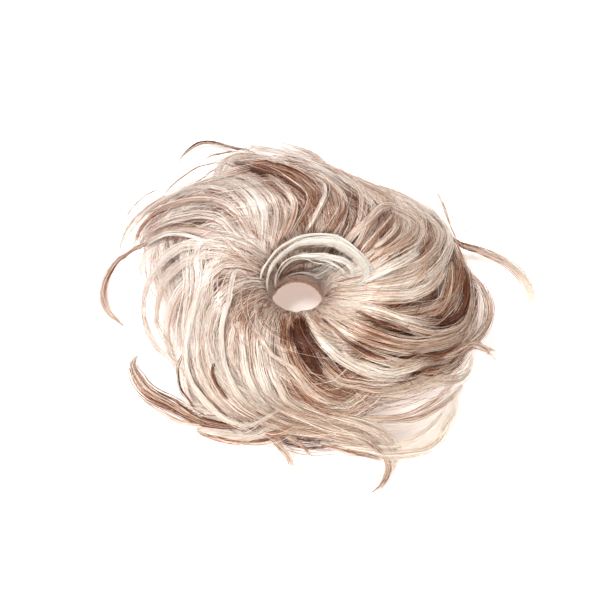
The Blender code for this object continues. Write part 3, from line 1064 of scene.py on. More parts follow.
@dataclass
class CombedHair:
    """The combed upper and lower hair, laid by rule round the ring.

    The upper locks lie at depths of their own, deeper ones darker by painted shade. The lower locks follow
    lower_rise, which holds (way along, height in millimetres).
    """

    comb: Comb
    samples: int = 160
    root_scatter: float = 0.3
    levelling: float = 1.65
    turning: float = 1.9
    bend: float = 0.07
    bend_turns: float = 5.0
    bend_phase: float = 6.0
    deepest: float = -6.0
    root_depth: float = -1.0
    middle_depth: float = -2.5
    painted_depth_shade: float = -0.045
    tip_width: float = 0.45
    lower_rise: tuple[Pair, ...] = ((0.0, 7.0), (0.25, 9.0), (0.6, 7.0), (1.0, 2.2))

    def ruled_lock(self, k: int, rule: LayerRule) -> tuple[Lock, Array]:
        """One lock of the wreath's swirl and its middle line.

        Its distance from the ring levels off towards the outline while it turns ever faster.

        Args:
            k: its number round the ring.
            rule: its layer's rule.

        Returns:
            The lock and its middle line.
        """
        rng, form = self.comb.rng, self.comb.form
        t = np.linspace(0.0, 1.0, self.samples)
        scatter = rng.uniform(-self.root_scatter, self.root_scatter)
        root = FULL_TURN * (k + scatter) / rule.count
        sweep = math.radians(rng.normal(*rule.sweep))
        reach = rng.uniform(*rule.reach)
        out = rule.first + (reach - rule.first) * (1 - (1 - t) ** self.levelling)
        bend = rng.normal(0.0, self.bend) * t
        bend *= np.sin(self.bend_turns * t + rng.uniform(0.0, self.bend_phase))
        angle = root + sweep * t**self.turning + bend
        held_back = (1.0 - form.fullness(angle)) * rule.airiness
        edge = form.outline_radius(angle) * (1.0 - held_back)
        flat = np.stack(form.plan(angle, out, edge), axis=1)
        if rule.layer is Layer.UPPER:
            depth = rng.uniform(self.deepest, 0.0)
            # Deeper locks get a darker tone: painted shade.
            tone = self.painted_depth_shade * (depth - self.middle_depth) + rng.normal(*rule.tone)
            middle = self.comb.draped(flat, (self.root_depth, depth, depth))
        else:
            tone = rng.normal(*rule.tone)
            height = MM * np.interp(t, *np.array(self.lower_rise).T)
            middle = evenly_spaced(np.column_stack([flat, height]), self.comb.samples)
        sizes = (rule.width, rule.thick, (0.0, 0.0, 0.0), (tone, tone), rule.strands, self.tip_width)
        return Lock("", *sizes, layer=rule.layer, region_share=1.0), middle

    def layer(self, rule: LayerRule) -> Strands:
        """All strands of one layer."""
        return joined(
            self.comb.lay(*self.ruled_lock(k, rule), rule.steps) for k in range(rule.count)
        )

    def build(self, material: Material) -> list[Piece]:
        """Four quarters of upper hair and one ring of lower hair.

        Args:
            material: the hair's material.

        Returns:
            The dressed pieces.
        """
        upper, lower = self.layer(UPPER_RULE), self.layer(LOWER_RULE)
        pieces = quartered("upper_hair", upper, material)
        ring = strand_mesh("lower_hair", lower)
        return [*pieces, dress(ring, material, "lower_hair", Layer.LOWER.value)]


@dataclass
class StyledLocks:
    """The single locks that show in front of the combed hair, each with its own route."""

    comb: Comb
    locks: tuple[Lock, ...]
    steps: int = 16

    def build(self, material: Material) -> list[Piece]:
        """One piece for each quarter round the opening.

        Args:
            material: the hair's material.

        Returns:
            The dressed pieces.
        """
        laid = (self.comb.lay(lock, self.comb.guide(lock), self.steps) for lock in self.locks)
        return quartered("styled_locks", joined(laid), material)


@dataclass
class LooseHairs:
    """Single hairs that cross the combed locks at all angles and stand off the outline.

    Shares of the way out from the ring say where a hair starts and ends. Pairs are a least and a
    most, except sweep, a mean and a spread in degrees, and arch, a start and a length in half turns.
    """

    comb: Comb
    count: int = 300
    steps: int = 16
    strand_radius: float = 0.08 * MM
    radius_range: Pair = (0.8, 1.3)
    sweep: Pair = (85.0, 48.0)
    turning: Pair = (1.0, 2.0)
    start: Pair = (0.02, 0.55)
    started_out: float = 0.75
    clearance: float = 0.01
    reach: Pair = (0.35, 0.75)
    furthest: Pair = (0.92, 1.10)
    levelling: float = 1.5
    bend: float = 0.10
    bend_turns: float = 4.0
    bend_phase: float = 6.0
    rise: Pair = (0.3 * MM, 3.2 * MM)
    arch: Pair = (0.15, 0.75)
    tone_spread: float = 0.26
    tone_range: Pair = (0.02, 0.98)
    taper: tuple[Pair, ...] = ((0.0, 1.0), (0.7, 1.0), (1.0, 0.4))

    def build(self, material: Material) -> Piece:
        """Each hair follows the swirl with a turn, a reach and a bend of its own.

        Args:
            material: the hair's material.

        Returns:
            The dressed piece.
        """
        rng, form = self.comb.rng, self.comb.form
        t = np.linspace(0.0, 1.0, self.steps)[None, :]
        column = (self.count, 1)
        root = rng.uniform(0.0, FULL_TURN, column)
        sweep = np.radians(rng.normal(*self.sweep, column))
        first = rng.uniform(*self.start, column) * (rng.random(column) < self.started_out)
        reach = first + rng.uniform(*self.reach, column)
        reach = np.minimum(reach, rng.uniform(*self.furthest, column))
        out = self.clearance + first + (reach - first) * (1 - (1 - t) ** self.levelling)
        bend = rng.normal(0.0, self.bend, column)
        bend = bend * np.sin(self.bend_turns * t + rng.uniform(0.0, self.bend_phase, column)) * t
        angle = root + sweep * t ** rng.uniform(*self.turning, column) + bend
        x, y = form.plan(angle, out, form.outline_radius(angle))
        arch = np.sin(math.pi * (self.arch[0] + self.arch[1] * t))
        height = form.surface(x, y) + rng.uniform(*self.rise, column) * arch
        points = self.comb.kept_clear(np.stack([x, y, height], axis=-1), self.comb.opening_radius)
        thin = self.strand_radius * np.interp(t, *np.array(self.taper).T)
        tone = self.comb.tones.at(x, y) + rng.normal(0.0, self.tone_spread, column)
        radius = thin * rng.uniform(*self.radius_range, column)
        hairs = Strands(points, radius, np.clip(tone, *self.tone_range))
        piece = strand_mesh("loose_hairs", hairs)
        return dress(piece, material, "upper_hair", Layer.UPPER.value)


@dataclass
class CrownCurl:
    """The pale loop of hair over the opening's far side."""

    comb: Comb
    locks: tuple[Lock, ...]

    def build(self, material: Material) -> Piece:
        """The curl's locks as one piece.

        Args:
            material: the curl's material.

        Returns:
            The dressed piece.
        """
        laid = joined(self.comb.lay(lock, self.comb.guide(lock)) for lock in self.locks)
        piece = strand_mesh("crown_curl_hair", laid)
        return dress(piece, material, "curl_hair", Layer.CURL.value)


@dataclass
class ElasticCasing:
    """The gathered fabric casing round the elastic.

    Large gathers run round it evenly, and small ones between them lean with the section. swell is
    how much of the wall they take, and wall_fill and height_fill keep the crests within the ring.
    """

    inner: float = 13.0 * MM
    wall: float = 3.2 * MM
    height: float = 12.0 * MM
    gathers: int = 34
    small_gathers: int = 61
    large_share: float = 0.6
    unevenness: float = 0.8
    lean: float = 1.2
    swell: float = 0.20
    wall_fill: float = 0.92
    height_fill: float = 0.98
    height_swell: float = 0.02
    roundness: float = 0.5
    columns: int = 340
    rows: int = 28

    def build(self, material: Material) -> Piece:
        """A rounded band: a fourth-power oval section turned about Z, drawn in and out by its gathers.

        Args:
            material: the casing's material.

        Returns:
            The dressed piece.
        """
        turn = FULL_TURN * np.arange(self.columns)[:, None] / self.columns
        section = FULL_TURN * np.arange(self.rows)[None, :] / self.rows
        across, upward = (
            np.sign(wave) * np.abs(wave) ** self.roundness for wave in (np.cos(section), np.sin(section))
        )
        large = np.sin(self.gathers * turn + self.unevenness * np.sin(3 * turn))
        small = np.sin(self.small_gathers * turn + self.lean * np.sin(section))
        gather = self.large_share * large + (1 - self.large_share) * small
        swollen = across * (1 + self.swell * gather) / (1 + self.swell)
        radius = self.inner + self.wall / 2 * (1 + self.wall_fill * swollen)
        rise = self.height_fill * upward * (1 - self.height_swell * (1 - gather))
        places = (radius * np.cos(turn), radius * np.sin(turn), self.height / 2 * (1 + rise))
        grid = np.stack(np.broadcast_arrays(*places), axis=-1)
        return dress(ring_mesh("elastic_casing", grid), material, "casing", "elastic_ring")


@dataclass
class Studio:
    """Camera, soft light and the pale table. Each light is (name, place, size, power)."""

    target: Triple = (1.5 * MM, -3.0 * MM, 20.0 * MM)
    distance: float = 0.708
    elevation: float = 70.0
    lens: float = 85.0
    world_strength: float = 0.94
    world_colour: Triple = (1.0, 0.985, 0.97)
    lights: tuple[tuple[str, Triple, float, float], ...] = (
        ("key_light", (-0.34, 0.36, 1.10), 0.26, 14.0),
        ("front_light", (-0.12, -0.75, 0.68), 0.34, 7.5),
    )
    table_half: float = 3.0

    def build(self) -> None:
        """Sets the camera, the lights, the world and the table."""
        self.add_camera()
        for light in self.lights:
            self.add_light(*light)
        world = bpy.data.worlds.new("studio")
        world.use_nodes = True
        background = world.node_tree.nodes["Background"]
        background.inputs["Color"].default_value = (*self.world_colour, 1.0)
        background.inputs["Strength"].default_value = self.world_strength
        bpy.context.scene.world = world
        bpy.context.scene.view_settings.view_transform = "Standard"
        self.add_table()

    def add_camera(self) -> None:
        """The camera looks at the target from the front, at the photograph's angle."""
        data = bpy.data.cameras.new("camera")
        data.lens = self.lens
        camera = bpy.data.objects.new("camera", data)
        tilt = math.radians(self.elevation)
        x, y, z = self.target
        camera.location = (x, y - self.distance * math.cos(tilt), z + self.distance * math.sin(tilt))
        camera.rotation_euler = (math.pi / 2 - tilt, 0.0, 0.0)
        bpy.context.scene.collection.objects.link(camera)
        bpy.context.scene.camera = camera

    def add_light(self, name: str, place: Triple, size: float, power: float) -> None:
        """A square soft light at a place, turned to the target.

        Args:
            name: its name.
            place: its middle.
            size: its side, in metres.
            power: its power, in watts.
        """
        data = bpy.data.lights.new(name, "AREA")
        data.size = size
        data.energy = power
        lamp = bpy.data.objects.new(name, data)
        lamp.location = place
        x, y, z = (p - t for p, t in zip(place, self.target))
        lamp.rotation_euler = (math.atan2(math.hypot(x, y), z), 0.0, math.atan2(x, -y))
        bpy.context.scene.collection.objects.link(lamp)

    def add_table(self) -> None:
        """A large flat table top just below the hairpiece."""
        half = self.table_half
        mesh = bpy.data.meshes.new("table_top")
        corners = [(-half, -half, 0.0), (half, -half, 0.0), (half, half, 0.0), (-half, half, 0.0)]
        mesh.from_pydata(corners, [], [(0, 1, 2, 3)])
        mesh.materials.append(TableFinish().build())
        table = bpy.data.objects.new("table_top", mesh)
        bpy.context.scene.collection.objects.link(table)


# The single locks and the curl, each as it lies on the wreath


STYLED_LOCKS: tuple[Lock, ...] = (
    # left and upper left
    Lock("-14,0 -19,3 -25,10 -33,15 -45,16 -54,16 -63,12 -70,7 -75,1 -77,-6 -76,-15 -72,-24 -66,-31 "
         "-58,-38", 6.4, 2, (-2, 4, 3), (0.24, 0.22), 60, 0.6),
    Lock("-14,-7 -22,2 -29,7 -36,10 -44,10 -53,7 -59,4 -65,-1 -68,-8 -69,-16 -64,-25 -58,-33",
         8.2, 2, (-2, 2.2, 2), (0.1, 0.12), 44, 0.8),
    Lock("-17,0 -19,9 -21,17 -25,25 -29,31 -34,36 -40,39 -48,41 -56,42 -64,42 -71,42 -76,40 -80,35 -81,31",
         9, 3, (-2, 1.7, 2), (0.1, 0.45), 60, 0.4),
    Lock("-17,0 -18,11 -20,19 -23,28 -26,35 -31,41 -37,46 -44,49 -54,51 -62,52 -71,51 -78,49 -84,44 "
         "-88,37 -91,31", 9, 3, (-2, 1.2, 1), (0.08, 0.14), 60, 0.3),
    Lock("-16,1 -17,12 -18,22 -20,30 -22,37 -26,43 -31,48 -38,51 -46,50 -54,49 -61,49",
         9, 3, (-2, 1.2, 1), (0.08, 0.16), 56),
    Lock("-17,-1 -20,6 -24,13 -28,18 -33,24 -37,28 -45,31 -53,31 -60,31 -68,30 -75,28 -79,26",
         9, 3, (-2, 1.7, 2), (0.1, 0.3), 60),
    Lock("-18,-2 -22,5 -26,10 -32,15 -37,19 -45,21 -52,23 -61,24 -69,24 -75,23 -80,23",
         7.2, 3, (-2, 2.2, 2.5), (0.16, 0.44), 50),
    Lock("-40,15 -47,18 -54,20 -61,22 -69,22 -75,21", 2.6, 1.5, (1, 3.5, 3), (0.02, 0.05), 24),
    Lock("-41,50 -52,52 -61,54 -71,56 -79,51 -85,45 -89,39 -91,32 -92,26",
         2.6, 1.5, (0, 0.7, 0.5), (0.36, 0.36), 20, 0.3),
    Lock("-64,43 -71,41 -76,38 -79,34 -81,29", 7.2, 3, (0, 1.2, 2), (0.66, 0.66), 40),
    Lock("-73,23 -79,24 -85,25 -91,23 -95,18 -98,12 -99,6 -98,1 -95,-4 -91,-8 -87,-12",
         5.8, 2, (1, 1.2, 0.5), (0.72, 0.3), 60, 0.2, 0.12),
    Lock("-68,23 -73,20 -76,16 -78,12 -79,7", 11, 2, (0, 0, 0), (0.1, 0.14), 30, 0.4),
    Lock("-16,1 -17,10 -16,19 -15,27 -16,35 -20,42 -25,47 -32,52 -39,56",
         7.2, 3, (-2, 1.2, 1.5), (0.16, 0.12), 48),
    # white locks and lower left
    Lock("-14,-6 -20,0 -28,8 -35,11 -41,6 -45,-2 -48,-11 -51,-19 -53,-28 -54,-35 -53,-43 -50,-50 -45,-56 "
         "-40,-62 -33,-66 -26,-69 -19,-68 -14,-66 -9,-64", 6.5, 2.6, (-3, 4, 4), (0.06, 0.03), 64, 0.35),
    Lock("-14,-8 -22,-2 -28,5 -31,-3 -32,-14 -35,-25 -35,-35 -34,-43 -31,-51 -27,-57 -23,-61 -19,-64",
         3.6, 2.2, (-3, 3.5, 3), (0.08, 0.04), 48, 0.4),
    Lock("-16,-12 -19,-18 -19,-26 -18,-32 -15,-37 -12,-41 -7,-44 -2,-47 3,-51 8,-55",
         2.8, 1.6, (-1, 3, 2), (0.24, 0.2), 30, 0.4),
    Lock("-19,-13 -23,-20 -26,-28 -25,-37 -24,-45 -22,-52 -19,-57 -15,-61 -11,-64",
         9, 3, (-2, 1.2, 1.5), (0.28, 0.34), 56, 0.4),
    Lock("-15,-15 -18,-25 -19,-35 -18,-43 -16,-50 -14,-55 -10,-59 -5,-62",
         8.2, 3, (-2, 1.7, 1.5), (0.14, 0.12), 54),
    Lock("-12,-23 -13,-33 -13,-42 -11,-49 -8,-54 -5,-59 0,-62 5,-64",
         7.2, 3, (-1, 1.2, 1.5), (0.3, 0.32), 46),
    Lock("-10,-28 -7,-38 -4,-46 1,-51 6,-56 12,-59 19,-61", 8.2, 3, (-1, 1.7, 1.5), (0.18, 0.16), 52),
    Lock("-37,-41 -40,-45 -39,-50 -36,-54 -33,-58", 2.8, 1.6, (1, 3, 2), (0.94, 0.9), 30, 0.4),
    Lock("-16,-10 -22,-14 -25,-21 -27,-29 -26,-36 -24,-43", 8.2, 3, (-1, 0, 0), (0.62, 0.55), 50, 0.6),
    Lock("-24,-22 -29,-27 -31,-34 -31,-40 -29,-46", 7.2, 3, (-1, 1, 0), (0.42, 0.36), 44, 0.6),
    Lock("-17,-5 -28,1 -37,3 -47,1 -55,-4 -60,-11 -63,-18 -63,-25 -61,-33 -57,-41 -52,-48",
         11, 2, (-2, 0, 0), (0.12, 0.08), 60, 0.8),
    Lock("-17,-8 -26,0 -34,4 -41,-1 -45,-11 -47,-21 -47,-31 -47,-40 -44,-49 -39,-56 -33,-62 -26,-65",
         9, 2.5, (-2, 1, 1), (0.2, 0.18), 56, 0.6),
    Lock("-54,-33 -58,-38 -58,-42 -57,-48 -53,-53 -49,-58 -42,-63",
         2.9, 2, (0, 1, 0.5), (0.5, 0.5), 28, 0.3),
    Lock("-28,-68 -37,-66 -46,-63 -55,-58 -63,-53 -71,-49 -77,-44 -81,-38 -83,-34 -83,-30 -80,-27",
         9, 3, (0, 1.2, 1), (0.86, 0.56), 96, 0.14),
    Lock("-37,-66 -48,-64 -58,-62 -67,-57 -73,-53 -77,-50", 2.6, 1.6, (0, 1, 0), (0.4, 0.3), 30, 0.2),
    Lock("-35,-63 -43,-60 -53,-56 -60,-51", 8.2, 2, (0, 1.2, 1), (0.1, 0.12), 36, 0.4),
    Lock("-50,-66 -39,-69 -29,-71 -20,-71 -12,-69 -5,-67", 8.2, 2.5, (0, 1, 0), (0.14, 0.16), 50),
    Lock("-48,-68 -39,-71 -31,-73 -23,-73 -16,-73 -9,-72", 3.6, 2.2, (0, 0.7, 0), (0.66, 0.62), 50, 0.4),
    Lock("-17,-70 -11,-71 -3,-70 2,-68", 6.2, 2.5, (1, 1.2, 1), (0.5, 0.5), 40),
    Lock("-17,-71 -11,-73 -6,-77 -3,-81 -1,-86", 5, 1.4, (0, 0.5, 0), (0.3, 0.3), 30, 0.9),
    Lock("-6,-72 0,-74 3,-76 7,-80", 4, 1.2, (0, 0.5, 0), (0.38, 0.34), 22, 0.8),
    # bottom and lower right
    Lock("-9,-56 -1,-60 9,-63 20,-66 30,-68 40,-71 47,-74", 9, 3, (-1, 1.2, 1), (0.29, 0.18), 56),
    Lock("-13,-60 -3,-64 7,-67 18,-70 29,-72 38,-75", 9, 3, (-1, 1.2, 1), (0.33, 0.27), 56),
    Lock("-13,-66 -2,-69 9,-71 21,-73 32,-75 42,-74", 9, 3, (0, 1, 0), (0.27, 0.16), 50),
    Lock("-6,-48 0,-52 7,-56 15,-59 23,-60", 9, 3, (0, 1.2, 1), (0.5, 0.55), 54, 0.6),
    Lock("-3,-57 3,-59 10,-61 18,-62", 7.2, 3, (0, 1.2, 1), (0.53, 0.49), 44, 0.6),
    # A near-black lock in front of the opening: painted shade for the deep gap between locks there.
    Lock("5,-14 2,-23 2,-31 5,-38 8,-44 12,-49", 9, 3.5, (-2, 1.2, 1), (0.96, 0.92), 84),
    Lock("6,-35 10,-42 15,-48 21,-52 28,-53 38,-54 48,-52", 9, 3, (-1, 1.2, 1.5), (0.55, 0.5), 60),
    Lock("11,-10 7,-24 10,-32 15,-39 21,-44 29,-48 37,-50 47,-50 55,-47",
         7.2, 3, (-2, 2.2, 2), (0.1, 0.14), 56),
    Lock("-4,-27 -3,-36 0,-43 4,-49 10,-53 17,-56 25,-58", 8.2, 3, (-1, 1.2, 1.5), (0.47, 0.53), 54),
    Lock("20,-37 26,-43 34,-46 42,-48 50,-46 57,-43 64,-39", 7.2, 3, (-1, 2.2, 2), (0.12, 0.14), 50),
    Lock("12,-21 18,-28 23,-34 29,-38 36,-41 44,-43 51,-43", 1.8, 1.4, (0, 3.5, 2), (0.8, 0.82), 22, 0.4),
    Lock("11,-19 19,-29 26,-35 34,-40 42,-42 51,-43 59,-41 66,-38", 7.2, 3, (-1, 1.7, 2), (0.5, 0.55), 54),
    Lock("10,-16 18,-25 26,-31 36,-35 45,-37 55,-37 64,-34 73,-30 81,-24",
         8.2, 3, (-1, 1.7, 2), (0.43, 0.41), 56),
    Lock("12,-15 21,-21 30,-27 39,-31 49,-34 59,-33 68,-30 76,-25 83,-17",
         8.2, 3, (-1, 2.2, 2), (0.31, 0.35), 56),
    Lock("42,-34 48,-37 55,-39 62,-39 69,-37 75,-33 80,-28", 2, 1.5, (0, 4, 3), (0.86, 0.84), 26, 0.4),
    Lock("26,-17 32,-21 38,-25 46,-27 54,-29", 2, 1.5, (0, 4, 3), (0.84, 0.84), 24, 0.4),
    Lock("14,-12 24,-17 34,-20 44,-24 55,-27 65,-28 73,-25 80,-20 84,-12 86,-3 86,5",
         7.2, 3, (-1, 2.2, 2), (0.41, 0.49), 54),
    Lock("14,-10 23,-14 32,-17 41,-20 51,-23 61,-24 69,-23", 8.2, 3, (-1, 2.2, 2), (0.14, 0.27), 56),
    Lock("58,-21 65,-23 72,-21 78,-17 82,-10 84,-1 84,7 83,15", 8.2, 3, (0, 1.2, 1), (0.88, 0.9), 70),
    Lock("59,-20 66,-17 71,-12 74,-5 76,3 77,12", 9, 3, (0, 1.2, 2), (0.62, 0.6), 56),
    Lock("59,-46 67,-44 74,-41 80,-35 84,-29", 6.2, 2.5, (0, 0.7, 0.5), (0.6, 0.55), 40, 0.4),
    Lock("69,-37 77,-33 84,-27 90,-20 94,-13 96,-5 95,2 92,7 87,9",
         9.8, 2.5, (0, 1, 1.5), (0.27, 0.33), 72, 0.6),
    Lock("75,-33 83,-28 90,-25 96,-26 101,-31", 4.4, 1.4, (1, 1.2, 0), (0.34, 0.36), 30, 0.9),
    Lock("81,-29 89,-24 96,-24 103,-26", 2.6, 1, (1, 1.2, 0), (0.3, 0.34), 16, 0.9),
    Lock("35,-57 45,-55 55,-52 65,-48 74,-45 80,-42 85,-37 86,-31", 12, 2, (0, 0, 1), (0.08, 0.1), 54, 0.6),
    Lock("38,-68 47,-67 57,-65 65,-61 72,-56 78,-50 82,-45", 5, 2, (0, 1, 0), (0.14, 0.12), 30, 0.6, 0.15),
    Lock("11,-74 23,-76 35,-77 45,-79 54,-78 63,-76 70,-71 74,-64 77,-58 77,-52",
         8.5, 2.6, (0, 1, 0), (0.1, 0.14), 66, 0.6, 0.15),
    Lock("16,-68 24,-70 32,-73 38,-76 43,-80 45,-85 43,-90 40,-94 36,-97",
         5.8, 2, (0, 0.7, 0), (0.3, 0.44), 66, 0.55),
    Lock("12,-75 20,-76 28,-78 35,-79 42,-81", 7.2, 2.5, (0, 1, 0), (0.53, 0.51), 50, 0.4),
    Lock("25,-67 34,-69 41,-72 46,-76 48,-82 47,-86", 5.4, 2, (0, 0.7, 0), (0.18, 0.27), 34, 0.3),
    Lock("30,-66 41,-66 52,-64 62,-59 69,-54 75,-48 79,-42", 7, 2, (0, 1, 1), (0.06, 0.1), 22, 0.8, 0.2),
    Lock("28,-74 40,-76 50,-75 59,-71 66,-66 71,-60 74,-54", 6, 2, (0, 1, 0), (0.08, 0.1), 22, 0.8, 0.2),
    # right and upper right
    Lock("14,-6 24,-10 34,-11 44,-12 54,-11 63,-6 69,1 73,10", 9.8, 3, (-1, 1.7, 2), (0.2, 0.24), 60),
    Lock("19,-6 30,-7 42,-7 53,-5 63,0 70,8 75,19 77,30 75,38 69,44 62,45 54,46 46,48",
         9.8, 3, (-1, 1.7, 3), (0.12, 0.16), 72),
    Lock("21,-3 33,-3 45,-1 56,4 64,12 70,21 71,30 67,36 60,38 52,39",
         9.8, 3, (-1, 1.2, 3), (0.34, 0.36), 64),
    Lock("27,-6 33,-3 40,0 48,4 55,9 62,17", 6.2, 3, (0, 3.5, 2), (0.1, 0.14), 44),
    Lock("33,0 41,6 48,11 56,17 60,25 59,32 53,35 46,37", 8.2, 3, (0, 1.7, 2.5), (0.44, 0.4), 54),
    Lock("50,5 57,8 62,14 66,22", 3.6, 2.5, (1, 2.2, 2), (0.76, 0.74), 40, 0.6),
    Lock("32,4 38,9 45,13 51,18 56,24 55,30 50,32", 8.2, 3, (0, 1.7, 2), (0.52, 0.5), 54),
    Lock("29,7 34,14 38,19 43,26 47,32", 8.2, 3, (0, 1.2, 2), (0.62, 0.62), 54, 0.6),
    Lock("37,13 42,17 47,23 49,29", 5.4, 2.5, (1, 2.2, 2), (0.3, 0.28), 34, 0.6),
    Lock("18,9 23,15 28,21 33,26 38,32 43,37 50,39", 7, 2.5, (1, 3, 2), (0.24, 0.2), 40),
    Lock("26,11 31,17 34,23 39,30 43,36", 4.4, 2, (1, 3, 2), (0.2, 0.22), 28),
    Lock("10,17 13,22 17,27 20,34 19,41", 9, 3, (-1, 1.2, 2), (0.58, 0.56), 56, 0.6),
    Lock("14,17 18,24 21,31 22,39 18,47 11,53 3,57", 11, 3, (-1, 1.2, 1), (0.4, 0.36), 66),
    Lock("26,19 31,26 33,35 33,44 29,52 22,61 15,70 6,80", 11, 3, (-1, 1.2, 1), (0.32, 0.26), 66),
    Lock("3,22 7,27 11,34 14,41 13,48 8,54", 3, 1.6, (0, 3, 2), (0.36, 0.34), 26),
    Lock("47,34 40,42 32,52 22,62 12,79 4,86 -5,90 -11,93", 11, 2.5, (-1, 1, 0), (0.24, 0.14), 60),
    Lock("39,39 31,48 25,57 19,66", 3.1, 1.8, (-1, 1, 0), (0.34, 0.34), 30),
    Lock("72,33 68,42 61,47 53,51 46,58 40,60", 9, 2.5, (-1, 1, 0), (0.1, 0.12), 46),
    Lock("75,36 81,32 87,30 94,29 101,26 108,23 114,18 118,12 120,5 119,-1",
         6.4, 2.4, (0, 1.2, 0.5), (0.66, 0.14), 68, 0.5, 0.16),
    Lock("82,35 79,42 77,49 75,56 73,62", 2.3, 1.5, (0, 1.2, 2), (0.4, 0.38), 22, 0.4),
    Lock("74,60 74,63 77,67 81,68 85,69 91,68 97,66", 0.7, 0.7, (1, 1.2, 2), (0.4, 0.42), 4, 0.6),
    Lock("75,49 81,48 85,43 88,37 88,31", 0.7, 0.7, (1, 1, 1), (0.3, 0.3), 3, 0.6),
    Lock("79,37 82,28 84,19 86,10 86,1", 2.1, 1.4, (1, 1.2, 1), (0.4, 0.4), 22),
    # top
    Lock("-8,16 -4,22 1,29 5,35 6,40 2,46 -4,51 -11,56 -19,60", 7.2, 3, (-2, 1.7, 1.5), (0.74, 0.72), 60),
    Lock("-4,19 2,25 6,32 10,38 9,44 3,50 -3,55 -12,60 -21,65 -31,78",
         8.2, 3, (-2, 1.2, 1), (0.64, 0.66), 60),
    Lock("7,42 2,47 -5,50 -12,55 -20,60 -26,68 -33,79", 6.2, 3, (-1, 1.2, 1), (0.84, 0.78), 56),
    Lock("-12,12 -9,18 -5,24 -2,30 -1,36 -4,42 -9,48 -15,55", 4.2, 2, (-2, 3, 2), (0.32, 0.3), 40),
    Lock("-15,4 -14,13 -12,20 -10,28 -10,34 -14,42 -20,48 -27,54 -34,58",
         8.2, 3, (-2, 1.7, 1), (0.24, 0.22), 56),
    Lock("-13,8 -10,17 -7,23 -5,30 -6,37 -11,43", 3.2, 2, (-2, 2.2, 1), (0.4, 0.36), 34),
    Lock("16,49 9,56 0,60 -8,66 -17,77 -26,83 -34,83 -39,79 -41,71 -40,53",
         9, 2.5, (-1, 0.7, 1), (0.2, 0.2), 60),
    Lock("22,54 13,63 3,78 -7,84 -17,87 -25,89 -33,86", 9, 2.5, (-1, 1, 0), (0.12, 0.16), 52),
    Lock("-19,81 -25,86 -31,88 -37,90 -42,92 -48,93 -53,92 -58,88 -61,85 -63,81",
         2.6, 1.6, (0, 0.7, 0.5), (0.62, 0.5), 34, 0.25),
    Lock("-28,85 -35,86 -41,85 -46,84 -49,81", 1.6, 1, (0, 0.7, 0.5), (0.6, 0.5), 16, 0.3),
    Lock("-27,69 -38,79 -46,79 -53,77 -59,72 -64,67 -68,62 -71,57",
         1.2, 0.8, (0, 0.7, 1), (0.52, 0.46), 11, 0.6),
    Lock("-38,78 -43,75 -48,70 -52,60 -56,53", 1, 0.8, (0, 0.7, 1), (0.5, 0.46), 8, 0.6),
    Lock("-71,65 -77,62 -82,58 -87,52 -90,46", 0.9, 0.7, (0, 0.7, 1), (0.46, 0.44), 7, 0.6),
    Lock("-87,39 -92,36 -97,31 -99,26 -100,21", 0.9, 0.7, (0, 1, 0.5), (0.46, 0.44), 7, 0.6),
)


def curl_lock(
    route: str, width: float, thick: float, tone: Pair, strands: int, tip_width: float
) -> Lock:
    """One lock of the curl, whose route holds heights, so that it has no lift."""
    return Lock(route, width, thick, (0.0, 0.0, 0.0), tone, strands, tip_width, layer=Layer.CURL)


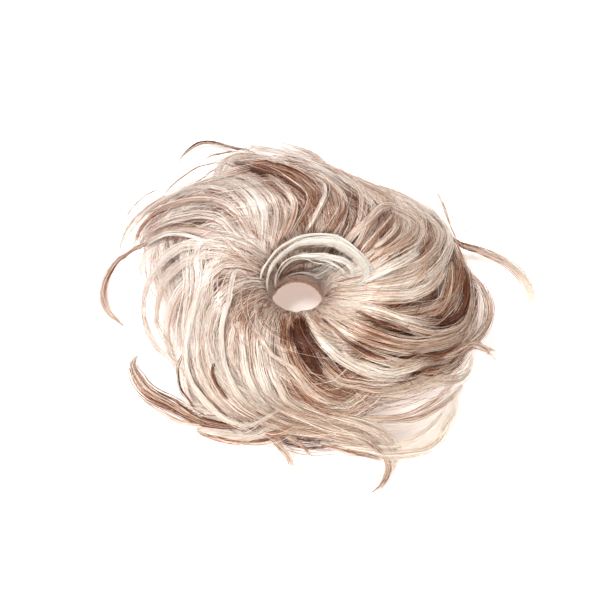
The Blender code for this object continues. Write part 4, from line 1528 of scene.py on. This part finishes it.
CURL_LOCKS: tuple[Lock, ...] = (
    curl_lock("-13,-7,30 -15,-3,39 -14,2,45 -12,5.8,47.5 -8,9.5,49 -4,12.5,50 1,15.5,50.5 7,16.5,51 "
              "13,16.5,51 18,15.5,51 24,12.5,50.5 29,8.5,50 32,4.8,49.5 34,0,48.5 33,-3,47.5 28,-5,46.5",
              5.2, 2.6, (0.04, 0.05), 80, 0.9),
    curl_lock("-16,-6,30 -18,-2,38 -17,4,44 -14,7.5,46.5 -10,12.5,48.5 -5,15.5,49.5 1,18.5,50 8,19.5,50.5 "
              "14,19.5,50.5 20,18.5,50.5 26,14.5,50 31,9.5,49.5 35,4.8,49 37,0,48 35,-5,46",
              2.4, 1.6, (0.22, 0.2), 26, 0.6),
    curl_lock("-10,-1,24 -10,2,33 -8,4.8,39 -4,6.5,43 1,9.5,45.5 6,10.5,46.5 12,10.5,47.5 17,8.5,48.5 "
              "22,6.8,49 26,4,48.5 28,-1,47.5", 4, 2.2, (0.03, 0.04), 60, 0.9),
    curl_lock("-9,2,26 -7,6,33 -3,9,38 2,10,42 8,10,44 14,8,46 20,4,47 24,0,47",
              2.6, 1.6, (0.12, 0.1), 30, 0.7),
    curl_lock("-7,7,18 -1,7,22 5,7,27 11,7,34 16,7.5,41 19,9,45 24,11,47.5",
              6.5, 2.4, (0.05, 0.05), 66, 0.9),
    curl_lock("8,8,26 12,6,32 18,5.5,38 23,5,42 28,2,45 30,-1,46", 4.5, 2, (0.14, 0.08), 40, 0.8),
    curl_lock("-8,9,22 -4,12,26 1,14,30 6,13,35 12,11,40 18,8,44 23,4,46", 6, 3, (0.52, 0.5), 60, 0.6),
    curl_lock("-2,15,42 3,16,44 9,17,46 15,17,47 21,14,48 26,9,48", 4.6, 2, (0.5, 0.46), 40, 0.6),
    curl_lock("-11,5,14 -6,8,14 0,9,15 7,8,18 12,6,26 18,3,36 24,1,43", 3.6, 2, (0.2, 0.16), 36, 0.6),
    curl_lock("14,3,33 20,-2,40 26,-4,44 31,-4,46.5", 2.4, 1.6, (0.34, 0.3), 24, 0.5),
)


def main() -> None:
    """Builds each sub-assembly in order."""
    logging.basicConfig(level=logging.INFO, format="%(message)s")
    form = WreathForm()
    comb = Comb(form, ToneMap(form.half_width), np.random.default_rng(7))
    hair = HairFinish().build()
    Studio().build()
    UnderHair(form, comb.tones).build(hair)
    CombedHair(comb).build(hair)
    StyledLocks(comb, STYLED_LOCKS).build(hair)
    LooseHairs(comb).build(hair)
    CrownCurl(comb, CURL_LOCKS).build(CURL_FINISH.build())
    ElasticCasing().build(CASING_FINISH.build())
    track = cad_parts["weft_band"]
    track.data.materials.clear()
    track.data.materials.append(TRACK_FINISH.build())


if __name__ == "__main__":
    main()
